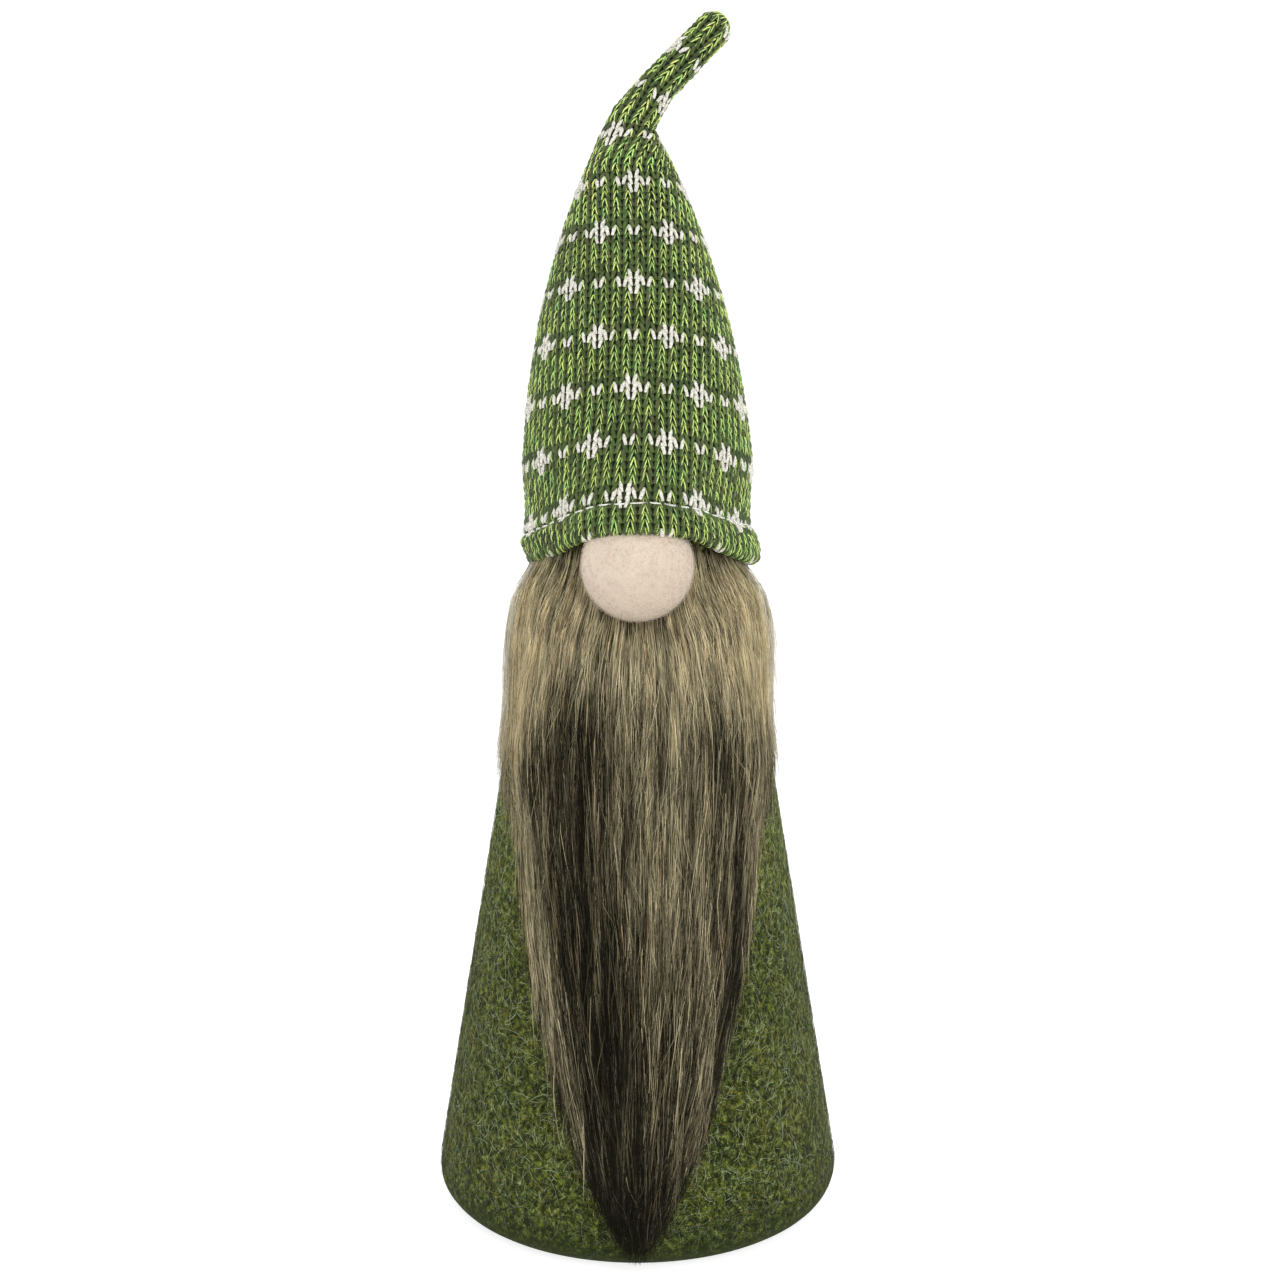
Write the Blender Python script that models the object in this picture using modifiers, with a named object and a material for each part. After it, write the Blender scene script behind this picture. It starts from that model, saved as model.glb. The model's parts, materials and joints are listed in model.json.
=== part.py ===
"""Tomte gnome figurine: a felt cone on a weighted base, a fur beard that hangs free,
a sewn ball nose, and a stuffed knit hat whose tail is bent on a wire.

Metres, +Z up, the face looks along -Y. The origin is the centre of the flat base.
"""

import math

import bmesh
import bpy
from mathutils import Matrix, Vector

# ---- driving dimensions -------------------------------------------------------------
GAP = 0.0004

BODY_FOOT_RADIUS = 0.0900
BODY_TAPER = 0.165
BODY_TOP_Z = 0.305
FOOT_ROUND = 0.012
FELT_THICKNESS = 0.0020
CARD_THICKNESS = 0.0012
BASE_DISC_RADIUS = 0.0710
BOARD_THICKNESS = 0.0030
BALLAST_TOP_Z = 0.030

HAT_WIDE_Z = 0.322
HAT_WIDE_RADIUS = 0.0482
HAT_NECK_Z = 0.4543
HAT_NECK_RADIUS = 0.0125
HAT_STRAIGHT_SHARE = 0.35
HAT_CURVE = 2.3
HAT_LEAN = -0.0034
KNIT_THICKNESS = 0.0030
HEM_THICKNESS = 0.0036
HEM_LOW_Z = 0.2755
HEM_HEIGHT = 0.0118
HEM_RIGHT_EXTRA = 0.0040
HEM_FLARE = 0.0030
HEM_RAISE = 0.0160
HEM_RAISE_ANGLE = math.radians(52)
NOSE_BULGE = 0.0216
NOSE_BULGE_ANGLE = math.radians(28)
NOSE_BULGE_TOP_Z = 0.345
THREAD_RADIUS = 0.0005

NOSE_CENTRE = Vector((0.0, -0.0470, 0.2780))
NOSE_RADIUS = 0.0227
NOSE_DEPTH = 0.0205
NOSE_SKIN = 0.0016

BEARD_TOP_Z = 0.2735
BEARD_TIP_Z = 0.0100
BEARD_SPLIT_Z = 0.2500
BEARD_SPLIT_DROP = 0.0500
BEARD_SIDE_Z = 0.2180
BEARD_HALF_WIDTH = 0.0605
BEARD_WIDE_Z = 0.2150
BEARD_EDGE_CURVE = 0.56
BEARD_WRAP = math.radians(92)
SWING_WRAP = math.radians(68)
BEARD_PILE = 0.0088
BACKING_THICKNESS = 0.0012
BACKING_STAND_OFF = 0.0008
BEARD_HINGE = Vector((0.0, -0.0512, 0.2515))

TAIL_FIRST_LEAN = math.radians(36)
TAIL_LEAN = math.radians(45)
TAIL_SEGMENT = 0.0172
TAIL_RADII = (0.0085, 0.0066, 0.0062, 0.0062)
TAIL_SKIN = 0.0016
WIRE_RADIUS = 0.0008
TAIL_FOOT = Vector((HAT_LEAN + 0.0010, 0.0, HAT_NECK_Z + TAIL_RADII[0] + GAP))

ROUND_STEPS = 36
PATCH_COLUMNS = 16
TAIL_STEPS = 16

COLOURS = {
    "felt": ((0.060, 0.105, 0.022), 0.95, 0.0),
    "board": ((0.420, 0.300, 0.170), 0.85, 0.0),
    "card": ((0.500, 0.420, 0.300), 0.80, 0.0),
    "ballast": ((0.580, 0.540, 0.460), 0.90, 0.0),
    "filling": ((0.850, 0.850, 0.830), 0.95, 0.0),
    "fleece": ((0.800, 0.600, 0.480), 0.90, 0.0),
    "backing": ((0.160, 0.130, 0.080), 0.90, 0.0),
    "pile": ((0.180, 0.140, 0.080), 0.70, 0.0),
    "knit": ((0.090, 0.160, 0.030), 0.90, 0.0),
    "white_thread": ((0.800, 0.800, 0.740), 0.80, 0.0),
    "green_thread": ((0.040, 0.070, 0.015), 0.80, 0.0),
    "wire": ((0.550, 0.550, 0.560), 0.35, 1.0),
}


# ---- shared helpers ------------------------------------------------------------------
def clear_scene():
    for obj in list(bpy.data.objects):
        bpy.data.objects.remove(obj, do_unlink=True)


def new_collection(name, hidden):
    collection = bpy.data.collections.new(name)
    collection.hide_render = hidden
    bpy.context.scene.collection.children.link(collection)
    return collection


def material(slot):
    found = bpy.data.materials.get(slot)
    if found:
        return found
    colour, roughness, metallic = COLOURS[slot]
    made = bpy.data.materials.new(slot)
    made.use_nodes = True
    shader = made.node_tree.nodes["Principled BSDF"]
    shader.inputs["Base Color"].default_value = (*colour, 1.0)
    shader.inputs["Roughness"].default_value = roughness
    shader.inputs["Metallic"].default_value = metallic
    return made


def add_part(name, data, slot, place=None):
    obj = bpy.data.objects.new(name, data)
    PARTS.objects.link(obj)
    obj.data.materials.clear()
    obj.data.materials.append(material(slot))
    if place is not None:
        obj.matrix_world = place
    return obj


def add_cutter(name, data, place=None):
    obj = bpy.data.objects.new(name, data)
    CUTTERS.objects.link(obj)
    obj.hide_render = True
    obj.display_type = "WIRE"
    if place is not None:
        obj.matrix_world = place
    return obj


def cut(obj, cutter):
    step = obj.modifiers.new(cutter.name, "BOOLEAN")
    step.operation = "DIFFERENCE"
    step.object = cutter


def arc(centre_r, centre_z, radius, first_deg, last_deg, count):
    """Points (r, z) along an arc, angles counted from +r towards +z."""
    points = []
    for i in range(count):
        angle = math.radians(first_deg + (last_deg - first_deg) * i / (count - 1))
        points.append((centre_r + radius * math.cos(angle), centre_z + radius * math.sin(angle)))
    return points


def profile_mesh(name, profile, closed):
    mesh = bpy.data.meshes.new(name)
    points = [(r, 0.0, z) for r, z in profile]
    edges = [(i, i + 1) for i in range(len(points) - 1)]
    if closed:
        edges.append((len(points) - 1, 0))
    mesh.from_pydata(points, edges, [])
    return mesh


def add_screw(obj, steps=ROUND_STEPS):
    screw = obj.modifiers.new("turn", "SCREW")
    screw.axis = "Z"
    screw.angle = 2 * math.pi
    screw.steps = steps
    screw.render_steps = steps
    screw.use_merge_vertices = True
    screw.merge_threshold = 0.00002
    screw.use_smooth_shade = True


def turned(name, profile, slot, closed=False, place=None, steps=ROUND_STEPS):
    """A profile turned round Z. It runs down its outer side; a closed one is a ring."""
    obj = add_part(name, profile_mesh(name, profile, closed), slot, place)
    add_screw(obj, steps)
    return obj


def grid_faces(bm, rows, wrap):
    count = len(rows[0])
    last = count if wrap else count - 1
    for upper, lower in zip(rows, rows[1:]):
        for j in range(last):
            k = (j + 1) % count
            bm.faces.new((upper[j], upper[k], lower[k], lower[j]))


def rim_faces(bm, outer, inner, wrap):
    count = len(outer)
    last = count if wrap else count - 1
    for j in range(last):
        k = (j + 1) % count
        bm.faces.new((outer[j], outer[k], inner[k], inner[j]))


def slab(name, outer, inner, slot, wrap):
    """A closed shell between two grids of points. Wrapped rows close round the object."""
    bm = bmesh.new()
    outside = [[bm.verts.new(p) for p in row] for row in outer]
    inside = [[bm.verts.new(p) for p in row] for row in inner]
    grid_faces(bm, outside, wrap)
    grid_faces(bm, inside, wrap)
    rim_faces(bm, outside[0], inside[0], wrap)
    rim_faces(bm, outside[-1], inside[-1], wrap)
    if not wrap:
        for side in (0, -1):
            rim_faces(bm, [r[side] for r in outside], [r[side] for r in inside], False)
    bmesh.ops.recalc_face_normals(bm, faces=bm.faces)
    mesh = bpy.data.meshes.new(name)
    bm.to_mesh(mesh)
    bm.free()
    mesh.shade_smooth()
    mesh.set_sharp_from_angle(angle=math.radians(50))
    return add_part(name, mesh, slot)


def tube(name, points, radius, slot, cyclic=False, place=None):
    """A thread or wire: one POLY spline with a round bevel."""
    curve = bpy.data.curves.new(name, "CURVE")
    curve.dimensions = "3D"
    curve.bevel_depth = radius
    curve.bevel_resolution = 2
    curve.use_fill_caps = not cyclic
    spline = curve.splines.new("POLY")
    spline.points.add(len(points) - 1)
    for point, place_of_point in zip(spline.points, points):
        point.co = (*place_of_point, 1.0)
    spline.use_cyclic_u = cyclic
    return add_part(name, curve, slot, place)


def sphere_mesh(name, scale, across, up):
    bm = bmesh.new()
    bmesh.ops.create_uvsphere(bm, u_segments=across, v_segments=up, radius=1.0)
    bmesh.ops.scale(bm, vec=scale, verts=bm.verts)
    bmesh.ops.rotate(bm, cent=(0, 0, 0), matrix=Matrix.Rotation(math.pi / 2, 3, "X"), verts=bm.verts)
    mesh = bpy.data.meshes.new(name)
    bm.to_mesh(mesh)
    bm.free()
    mesh.shade_smooth()
    return mesh


# ---- forms of the body, hat and beard --------------------------------------------------
def body_radius(z):
    return BODY_FOOT_RADIUS - BODY_TAPER * z


def around(angle, radius, z, lean=0.0):
    """A point at an angle from the face (-Y) towards +X."""
    return Vector((radius * math.sin(angle) + lean, -radius * math.cos(angle), z))


def hat_lean(z):
    share = (z - HAT_WIDE_Z) / (HAT_NECK_Z - HAT_WIDE_Z)
    return HAT_LEAN * max(0.0, share)


def nose_bulge(angle, z):
    """How far the hat stands forward where it is pulled over the nose."""
    fall = (NOSE_BULGE_TOP_Z - z) / (NOSE_BULGE_TOP_Z - NOSE_CENTRE.z - 0.011)
    fall = min(1.0, max(0.0, fall))
    return NOSE_BULGE * fall**1.3 * math.exp(-((angle / NOSE_BULGE_ANGLE) ** 2))


def hat_radius(z):
    if z >= HAT_WIDE_Z:
        share = (z - HAT_WIDE_Z) / (HAT_NECK_Z - HAT_WIDE_Z)
        bend = HAT_STRAIGHT_SHARE * share + (1 - HAT_STRAIGHT_SHARE) * share**HAT_CURVE
        return HAT_WIDE_RADIUS - (HAT_WIDE_RADIUS - HAT_NECK_RADIUS) * bend
    share = (HAT_WIDE_Z - z) / (HAT_WIDE_Z - HEM_LOW_Z)
    return HAT_WIDE_RADIUS - 0.0010 * smooth(2 * share) + HEM_FLARE * smooth(2 * share - 1)


def hat_point(angle, z, inset=0.0):
    radius = hat_radius(z) + nose_bulge(angle, z) - inset
    return around(angle, radius, z, hat_lean(z))


def hem_low(angle):
    return HEM_LOW_Z + HEM_RAISE * math.exp(-((angle / HEM_RAISE_ANGLE) ** 2))


def hem_top(angle):
    return hem_low(angle) + HEM_HEIGHT + HEM_RIGHT_EXTRA * max(0.0, math.sin(angle)) ** 2


def beard_half_width(z):
    share = (z - BEARD_TIP_Z + 0.006) / (BEARD_WIDE_Z - BEARD_TIP_Z + 0.006)
    return BEARD_HALF_WIDTH * min(1.0, max(0.0, share)) ** BEARD_EDGE_CURVE


def beard_half_angle(z):
    reach = beard_half_width(z) / (body_radius(z) + BEARD_PILE)
    if z >= BEARD_WIDE_Z or reach >= 1.0:
        return BEARD_WRAP
    return min(BEARD_WRAP, math.asin(reach))


def drop_angle(across, z):
    """The angle of a point of the hanging part, from -1 at its left edge to 1 at its right."""
    return across * min(SWING_WRAP, beard_half_angle(z))


def collar_angle(across, z):
    """The same for the fixed part, which reaches further round the body."""
    return across * BEARD_WRAP


def beard_split(angle):
    """The height of the line where the beard starts to swing."""
    return BEARD_SPLIT_Z - BEARD_SPLIT_DROP * (angle / SWING_WRAP) ** 2


def collar_low(angle, room):
    """The lower edge of the fixed part: over the hanging part, then up its own side."""
    beyond = (abs(angle) - SWING_WRAP) / (BEARD_WRAP - SWING_WRAP)
    if beyond <= 0.0:
        return beard_split(angle) + room
    low = beard_split(SWING_WRAP) + room
    return low + (BEARD_SIDE_Z - low) * beyond


def smooth(value):
    value = min(1.0, max(0.0, value))
    return value * value * (3 - 2 * value)


# ---- body -------------------------------------------------------------------------------
def foot_centre_r():
    slope = math.atan(BODY_TAPER)
    meet_z = FOOT_ROUND + FOOT_ROUND * math.sin(slope)
    return body_radius(meet_z) - FOOT_ROUND * math.cos(slope)


def make_body():
    slope_deg = math.degrees(math.atan(BODY_TAPER))
    centre_r = foot_centre_r()
    felt = FELT_THICKNESS
    outer = [(body_radius(BODY_TOP_Z), BODY_TOP_Z), (body_radius(0.16), 0.16)]
    outer += arc(centre_r, FOOT_ROUND, FOOT_ROUND, slope_deg, -90, 7)
    inner = arc(centre_r, FOOT_ROUND, FOOT_ROUND - felt, -90, slope_deg, 5)
    inner += [(body_radius(BODY_TOP_Z) - felt, BODY_TOP_Z)]
    turned("body_felt", outer + inner, "felt", closed=True)

    disc_r = centre_r - GAP
    disc = [(0, felt), (disc_r, felt), (disc_r, 0), (0, 0)]
    turned("base_felt", disc, "felt")

    low = felt + GAP
    high = low + BOARD_THICKNESS
    board = [(0, high), (BASE_DISC_RADIUS, high), (BASE_DISC_RADIUS, low), (0, low)]
    turned("base_board", board, "board")

    low = high + GAP
    bag_r = BASE_DISC_RADIUS - 0.0020
    round_r = (BALLAST_TOP_Z - low) / 2
    edge = arc(bag_r - round_r, low + round_r, round_r, 90, -90, 5)
    turned("ballast_bag", [(0, BALLAST_TOP_Z), *edge, (0, low)], "ballast")

    card_low = FOOT_ROUND + 0.004
    skin = felt + GAP
    card = [
        (body_radius(BODY_TOP_Z) - skin, BODY_TOP_Z - GAP),
        (body_radius(card_low) - skin, card_low),
        (body_radius(card_low) - skin - CARD_THICKNESS, card_low),
        (body_radius(BODY_TOP_Z) - skin - CARD_THICKNESS, BODY_TOP_Z - GAP),
    ]
    turned("body_card", card, "card", closed=True)

    skin += CARD_THICKNESS + GAP
    low = BALLAST_TOP_Z + GAP
    high = BODY_TOP_Z - 0.004
    filling = [(0, high), (body_radius(high) - skin, high), (body_radius(low) - skin, low), (0, low)]
    turned("body_filling", filling, "filling")

    make_body_seam()


def make_body_seam():
    """The overcast thread that closes the felt up the back."""
    low = FOOT_ROUND + 0.005
    high = HEM_LOW_Z - 0.006
    count = 44
    points = []
    for i in range(count):
        z = low + (high - low) * i / (count - 1)
        side = 0.0009 if i % 2 else -0.0009
        points.append(Vector((side, body_radius(z) + GAP + THREAD_RADIUS, z)))
    tube("body_seam_thread", points, THREAD_RADIUS, "green_thread")


# ---- nose -------------------------------------------------------------------------------
def face_cutter(name, stand_off):
    """The body's cone, grown by the fur cloth that the nose is sewn to."""
    low = NOSE_CENTRE.z - 0.05
    high = NOSE_CENTRE.z + 0.05
    profile = [
        (0, high),
        (body_radius(high) + stand_off, high),
        (body_radius(low) + stand_off, low),
        (0, low),
    ]
    cutter = add_cutter(name, profile_mesh(name, profile, False))
    add_screw(cutter)
    return cutter


def make_nose():
    place = Matrix.Translation(NOSE_CENTRE)
    front = BACKING_STAND_OFF + BACKING_THICKNESS + GAP
    skin_scale = (NOSE_RADIUS, NOSE_RADIUS, NOSE_DEPTH)
    hollow_scale = tuple(side - NOSE_SKIN for side in skin_scale)
    core_scale = tuple(side - NOSE_SKIN - GAP for side in skin_scale)
    cover = add_part("nose_cover", sphere_mesh("nose_cover", skin_scale, 24, 14), "fleece", place)
    cut(cover, add_cutter("nose_hollow", sphere_mesh("nose_hollow", hollow_scale, 20, 10), place))
    cut(cover, face_cutter("nose_back", front))
    core = add_part("nose_filling", sphere_mesh("nose_filling", core_scale, 16, 10), "filling", place)
    cut(core, face_cutter("nose_filling_back", front + 0.0044))

    ring_r = 0.0085
    tie_y = -(body_radius(NOSE_CENTRE.z) + front + 3.2 * THREAD_RADIUS)
    points = []
    for i in range(28):
        turn = 2 * math.pi * i / 28
        points.append(Vector((ring_r * math.cos(turn), tie_y, NOSE_CENTRE.z + ring_r * math.sin(turn))))
    tube("nose_tie_thread", points, THREAD_RADIUS, "white_thread", cyclic=True)


# ---- beard ------------------------------------------------------------------------------
def beard_patch(name, slot, angle_of, top, bottom, floor, face, rows):
    """A patch on the body from top(angle) down to bottom(angle), floor to face thick."""
    outer = []
    inner = []
    for i in range(rows + 1):
        share = i / rows
        outer_row = []
        inner_row = []
        for j in range(PATCH_COLUMNS + 1):
            across = 2 * j / PATCH_COLUMNS - 1
            first = angle_of(across, BEARD_SPLIT_Z)
            z = top(first) + (bottom(first) - top(first)) * share
            angle = angle_of(across, z)
            outer_row.append(around(angle, body_radius(z) + face(across, z), z))
            inner_row.append(around(angle, body_radius(z) + floor, z))
        outer.append(outer_row)
        inner.append(inner_row)
    return slab(name, outer, inner, slot, wrap=False)


def make_beard():
    back_low = BACKING_STAND_OFF
    back_high = BACKING_STAND_OFF + BACKING_THICKNESS
    pile_low = back_high + GAP

    def backing_face(across, z):
        return back_high

    def collar_face(across, z):
        squeeze = smooth((BEARD_TOP_Z - z) / 0.012 + 0.45)
        return pile_low + BEARD_PILE * squeeze

    def drop_face(across, z):
        clear = smooth((beard_split(drop_angle(across, z)) - z) / 0.024)
        tip = smooth((z - BEARD_TIP_Z) / 0.09)
        edge = 1 - 0.45 * across**4
        full = BEARD_PILE * (0.35 + 0.65 * tip) * edge
        return pile_low + 0.0020 + (full - 0.0020) * clear

    def tucked_edge(angle):
        return hem_top(angle) - 0.004

    def brim_edge(angle):
        return BEARD_TOP_Z

    def collar_end(angle):
        return collar_low(angle, 0.0010)

    def pile_collar_end(angle):
        return collar_low(angle, 0.0045)

    def tip_end(angle):
        return BEARD_TIP_Z + 0.012 * (angle / SWING_WRAP) ** 2

    beard_patch(
        "beard_backing_top", "backing", collar_angle, tucked_edge, collar_end, back_low, backing_face, 4
    )
    pile = beard_patch(
        "beard_pile_top", "pile", collar_angle, brim_edge, pile_collar_end, pile_low, collar_face, 6
    )
    clear = tuple(side + GAP for side in (NOSE_RADIUS, NOSE_RADIUS, NOSE_DEPTH))
    room = sphere_mesh("nose_room", clear, 28, 16)
    cut(pile, add_cutter("nose_room", room, Matrix.Translation(NOSE_CENTRE)))

    backing = beard_patch(
        "beard_backing_drop", "backing", drop_angle, beard_split, tip_end, back_low, backing_face, 8
    )
    hang_from(backing, BEARD_HINGE)
    pile = beard_patch(
        "beard_pile_drop", "pile", drop_angle, beard_split, tip_end, pile_low, drop_face, 10
    )
    hang_from(pile, BEARD_HINGE)


def hang_from(obj, pivot):
    """Moves the object's origin to its joint without moving its shape."""
    obj.data.transform(Matrix.Translation(-pivot))
    obj.location = pivot


# ---- hat --------------------------------------------------------------------------------
def hat_rows(bottom, top, inset, rows):
    found = []
    for i in range(rows + 1):
        share = i / rows
        row = []
        for j in range(ROUND_STEPS):
            angle = 2 * math.pi * j / ROUND_STEPS
            if angle > math.pi:
                angle -= 2 * math.pi
            low = bottom(angle)
            row.append(hat_point(angle, top(angle) + (low - top(angle)) * share, inset))
        found.append(row)
    return found


def make_hat():
    def crown_low(angle):
        return hem_top(angle) + GAP

    def crown_high(angle):
        return HAT_NECK_Z - GAP

    def hem_high(angle):
        return hem_top(angle)

    outer = hat_rows(crown_low, crown_high, 0.0, 13)
    inner = hat_rows(crown_low, crown_high, KNIT_THICKNESS, 13)
    slab("hat_crown", outer, inner, "knit", wrap=True)

    outer = hat_rows(hem_low, hem_high, -0.0008, 2)
    inner = hat_rows(hem_low, hem_high, HEM_THICKNESS - 0.0008, 2)
    slab("hat_hem", outer, inner, "knit", wrap=True)

    make_hem_thread()
    make_hat_seam()
    make_hat_filling()


def make_hem_thread():
    count = 72
    points = []
    for i in range(count):
        angle = 2 * math.pi * i / count
        if angle > math.pi:
            angle -= 2 * math.pi
        wave = 0.0002 * (-1) ** i
        lift = 0.0008 + GAP + THREAD_RADIUS
        points.append(hat_point(angle, hem_top(angle) + wave, -lift))
    tube("hem_thread", points, THREAD_RADIUS, "white_thread", cyclic=True)


def make_hat_seam():
    """The thread that joins the knit up the back of the hat."""
    low = hem_top(math.pi) + 0.003
    high = HAT_NECK_Z - 0.004
    count = 34
    points = []
    for i in range(count):
        z = low + (high - low) * i / (count - 1)
        side = 0.0008 if i % 2 else -0.0008
        point = hat_point(math.pi, z, -(2 * GAP + THREAD_RADIUS))
        points.append(point + Vector((side, 0, 0)))
    tube("hat_seam_thread", points, THREAD_RADIUS, "green_thread")


def make_hat_filling():
    """Stuffing over the body's top, with a channel for the wire."""
    low = BODY_TOP_Z + GAP
    high = HAT_NECK_Z - 0.002
    rows = 7
    skin = KNIT_THICKNESS + GAP + 0.0003
    outer = []
    inner = []
    for i in range(rows + 1):
        z = high + (low - high) * i / rows
        radius = hat_radius(z) - skin
        ring = [2 * math.pi * j / ROUND_STEPS for j in range(ROUND_STEPS)]
        outer.append([around(angle, radius, z, hat_lean(z)) for angle in ring])
        inner.append([around(angle, WIRE_RADIUS + 2 * GAP, z, hat_lean(z)) for angle in ring])
    slab("hat_filling", outer, inner, "filling", wrap=True)

    wire_low = BODY_TOP_Z + 0.030
    wire_high = HAT_NECK_Z - 0.0010
    count = 9
    points = []
    for i in range(count):
        z = wire_low + (wire_high - wire_low) * i / (count - 1)
        points.append(Vector((hat_lean(z), 0, z)))
    tube("hat_wire", points, WIRE_RADIUS, "wire")


# ---- tail -------------------------------------------------------------------------------
def tail_frames():
    """The pivot of each tail segment, with the way it points, turned about Y."""
    frames = []
    pivot = TAIL_FOOT.copy()
    for lean in (TAIL_FIRST_LEAN, TAIL_LEAN, TAIL_LEAN):
        turn = Matrix.Rotation(lean, 4, "Y")
        frames.append(Matrix.Translation(pivot) @ turn)
        pivot = pivot + turn @ Vector((0, 0, TAIL_SEGMENT))
    return frames


def tail_sleeve_profile(low_r, high_r, length, skin, last):
    """Outer dome, side and open end, then the inner side back down to the dome's hole."""
    hole = WIRE_RADIUS + 3 * GAP
    hole_deg = math.degrees(math.acos(hole / low_r))
    dome = arc(0, 0, low_r, 0, -hole_deg, 6)
    in_r = low_r - skin
    hole_in_deg = math.degrees(math.acos(hole / in_r))
    hollow = arc(0, 0, in_r, -hole_in_deg, 0, 5)
    if last:
        top = arc(0, length, high_r, 90, 0, 5)
        under = arc(0, length, high_r - skin, 0, 90, 4)
        return top + dome + hollow + under, False
    return [(high_r, length), *dome, *hollow, (high_r - skin, length)], True


def tail_filling_profile(low_r, high_r, length, last):
    """The stuffing of one segment, bored for the wire."""
    hole = WIRE_RADIUS + 2 * GAP
    dome = arc(0, 0, low_r, 0, -math.degrees(math.acos(hole / low_r)), 5)
    if last:
        cap = arc(0, length, high_r, math.degrees(math.acos(hole / high_r)), 0, 4)
        return [*cap, *dome]
    high = length - GAP
    return [(hole, high), (high_r, high), *dome]


def make_tail():
    names = ("lower", "middle", "tip")
    for i, (name, frame) in enumerate(zip(names, tail_frames())):
        low_r = TAIL_RADII[i]
        high_r = TAIL_RADII[i + 1]
        last = i == len(names) - 1
        room = 0.0 if last else TAIL_RADII[i + 1] + GAP
        length = TAIL_SEGMENT - room
        end_r = low_r + (high_r - low_r) * length / TAIL_SEGMENT
        profile, closed = tail_sleeve_profile(low_r, end_r, length, TAIL_SKIN, last)
        turned(f"tail_sleeve_{name}", profile, "knit", closed, frame, TAIL_STEPS)
        skin = TAIL_SKIN + GAP
        profile = tail_filling_profile(low_r - skin, end_r - skin, length, last)
        turned(f"tail_filling_{name}", profile, "filling", True, frame, TAIL_STEPS)
        low_end = Vector((0, 0, -low_r + 0.0012))
        wire = [low_end, Vector((0, 0, length / 3)), Vector((0, 0, length - GAP))]
        tube(f"tail_wire_{name}", wire, WIRE_RADIUS, "wire", place=frame)


clear_scene()
PARTS = new_collection("tomte_gnome", hidden=False)
CUTTERS = new_collection("cutters", hidden=True)
make_body()
make_nose()
make_beard()
make_hat()
make_tail()
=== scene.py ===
"""The looks of a knitted-cap tomte figurine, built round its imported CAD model.

Cap: every knitted stitch is a pair of yarn legs laid on the cap's form. Beard: strands of long pile
rooted on the backing cloth. Body: heathered felt with short loose fibres. Nose: stuffed fleece.
"""

import json
import math

import bpy
import numpy as np
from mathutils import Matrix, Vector


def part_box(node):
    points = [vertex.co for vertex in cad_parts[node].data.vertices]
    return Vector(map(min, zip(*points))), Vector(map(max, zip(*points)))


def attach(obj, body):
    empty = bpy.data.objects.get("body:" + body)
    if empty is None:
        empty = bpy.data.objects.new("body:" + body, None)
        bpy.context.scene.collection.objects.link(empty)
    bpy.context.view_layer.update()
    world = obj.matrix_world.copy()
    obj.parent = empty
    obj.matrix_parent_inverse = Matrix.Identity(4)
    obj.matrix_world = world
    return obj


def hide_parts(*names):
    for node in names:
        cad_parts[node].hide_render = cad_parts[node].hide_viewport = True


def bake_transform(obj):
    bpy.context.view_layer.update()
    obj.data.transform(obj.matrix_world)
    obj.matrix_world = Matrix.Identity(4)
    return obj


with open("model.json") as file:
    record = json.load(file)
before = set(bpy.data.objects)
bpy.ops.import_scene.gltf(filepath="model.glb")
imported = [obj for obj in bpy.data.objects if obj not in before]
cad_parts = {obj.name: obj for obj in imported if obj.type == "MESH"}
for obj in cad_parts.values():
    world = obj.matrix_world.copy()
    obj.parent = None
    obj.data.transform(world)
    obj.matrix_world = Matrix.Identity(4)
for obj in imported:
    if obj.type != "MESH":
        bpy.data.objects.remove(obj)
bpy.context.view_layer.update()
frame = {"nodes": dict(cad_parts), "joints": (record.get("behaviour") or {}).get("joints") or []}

JOINTS = {joint["name"]: joint for joint in frame["joints"]}

# The cone of the body, in metres, as the CAD has it.
BODY_FOOT_RADIUS = 0.0900
BODY_TAPER = 0.165
BODY_TOP_Z = 0.305
FOOT_ROUND = 0.012
FELT_THICKNESS = 0.0020

# The cap and its turned-up hem.
HAT_WIDE_Z = 0.322
HAT_WIDE_RADIUS = 0.0482
HAT_NECK_Z = 0.4543
HAT_NECK_RADIUS = 0.0125
HAT_STRAIGHT_SHARE = 0.35
HAT_CURVE = 2.3
HAT_LEAN = -0.0034
HEM_LOW_Z = 0.2755
HEM_HEIGHT = 0.0118
HEM_RIGHT_EXTRA = 0.0040
HEM_FLARE = 0.0030
HEM_RAISE = 0.0160
HEM_RAISE_ANGLE = math.radians(52)
NOSE_BULGE = 0.0216
NOSE_BULGE_ANGLE = math.radians(28)
NOSE_BULGE_TOP_Z = 0.345
HEM_PROUD = 0.0008
HEM_SHIFT = 0.0029

# The nose.
NOSE_CENTRE = np.array((0.0, -0.0470, 0.2780))
NOSE_RADIUS = 0.0227
NOSE_DEPTH = 0.0205
NOSE_SIZE = np.array((NOSE_RADIUS, NOSE_DEPTH, NOSE_RADIUS))

# The beard.
BEARD_TOP_Z = 0.2735
BEARD_TIP_Z = 0.0100
BEARD_SPLIT_Z = 0.2500
BEARD_SPLIT_DROP = 0.0500
BEARD_SIDE_Z = 0.2180
BEARD_HALF_WIDTH = 0.0605
BEARD_WRAP = math.radians(92)
SWING_WRAP = math.radians(68)
BEARD_PILE = 0.0088
BACKING_THICKNESS = 0.0012
BACKING_STAND_OFF = 0.0008
HAIR_COUNT = 30000
HAIRS_IN_PIECE = 4200
HAIR_HALF_WIDTH = 0.000115
HAIR_LOCKS = 44.0
HAIR_LIGHT = np.array((0.580, 0.500, 0.312))
HAIR_DARK = np.array((0.009, 0.008, 0.0035))
# The pale colour mixed into the pile round its far sides: painted rim light.
HAIR_PAINTED_RIM_LIGHT = np.array((0.84, 0.81, 0.71))

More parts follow.
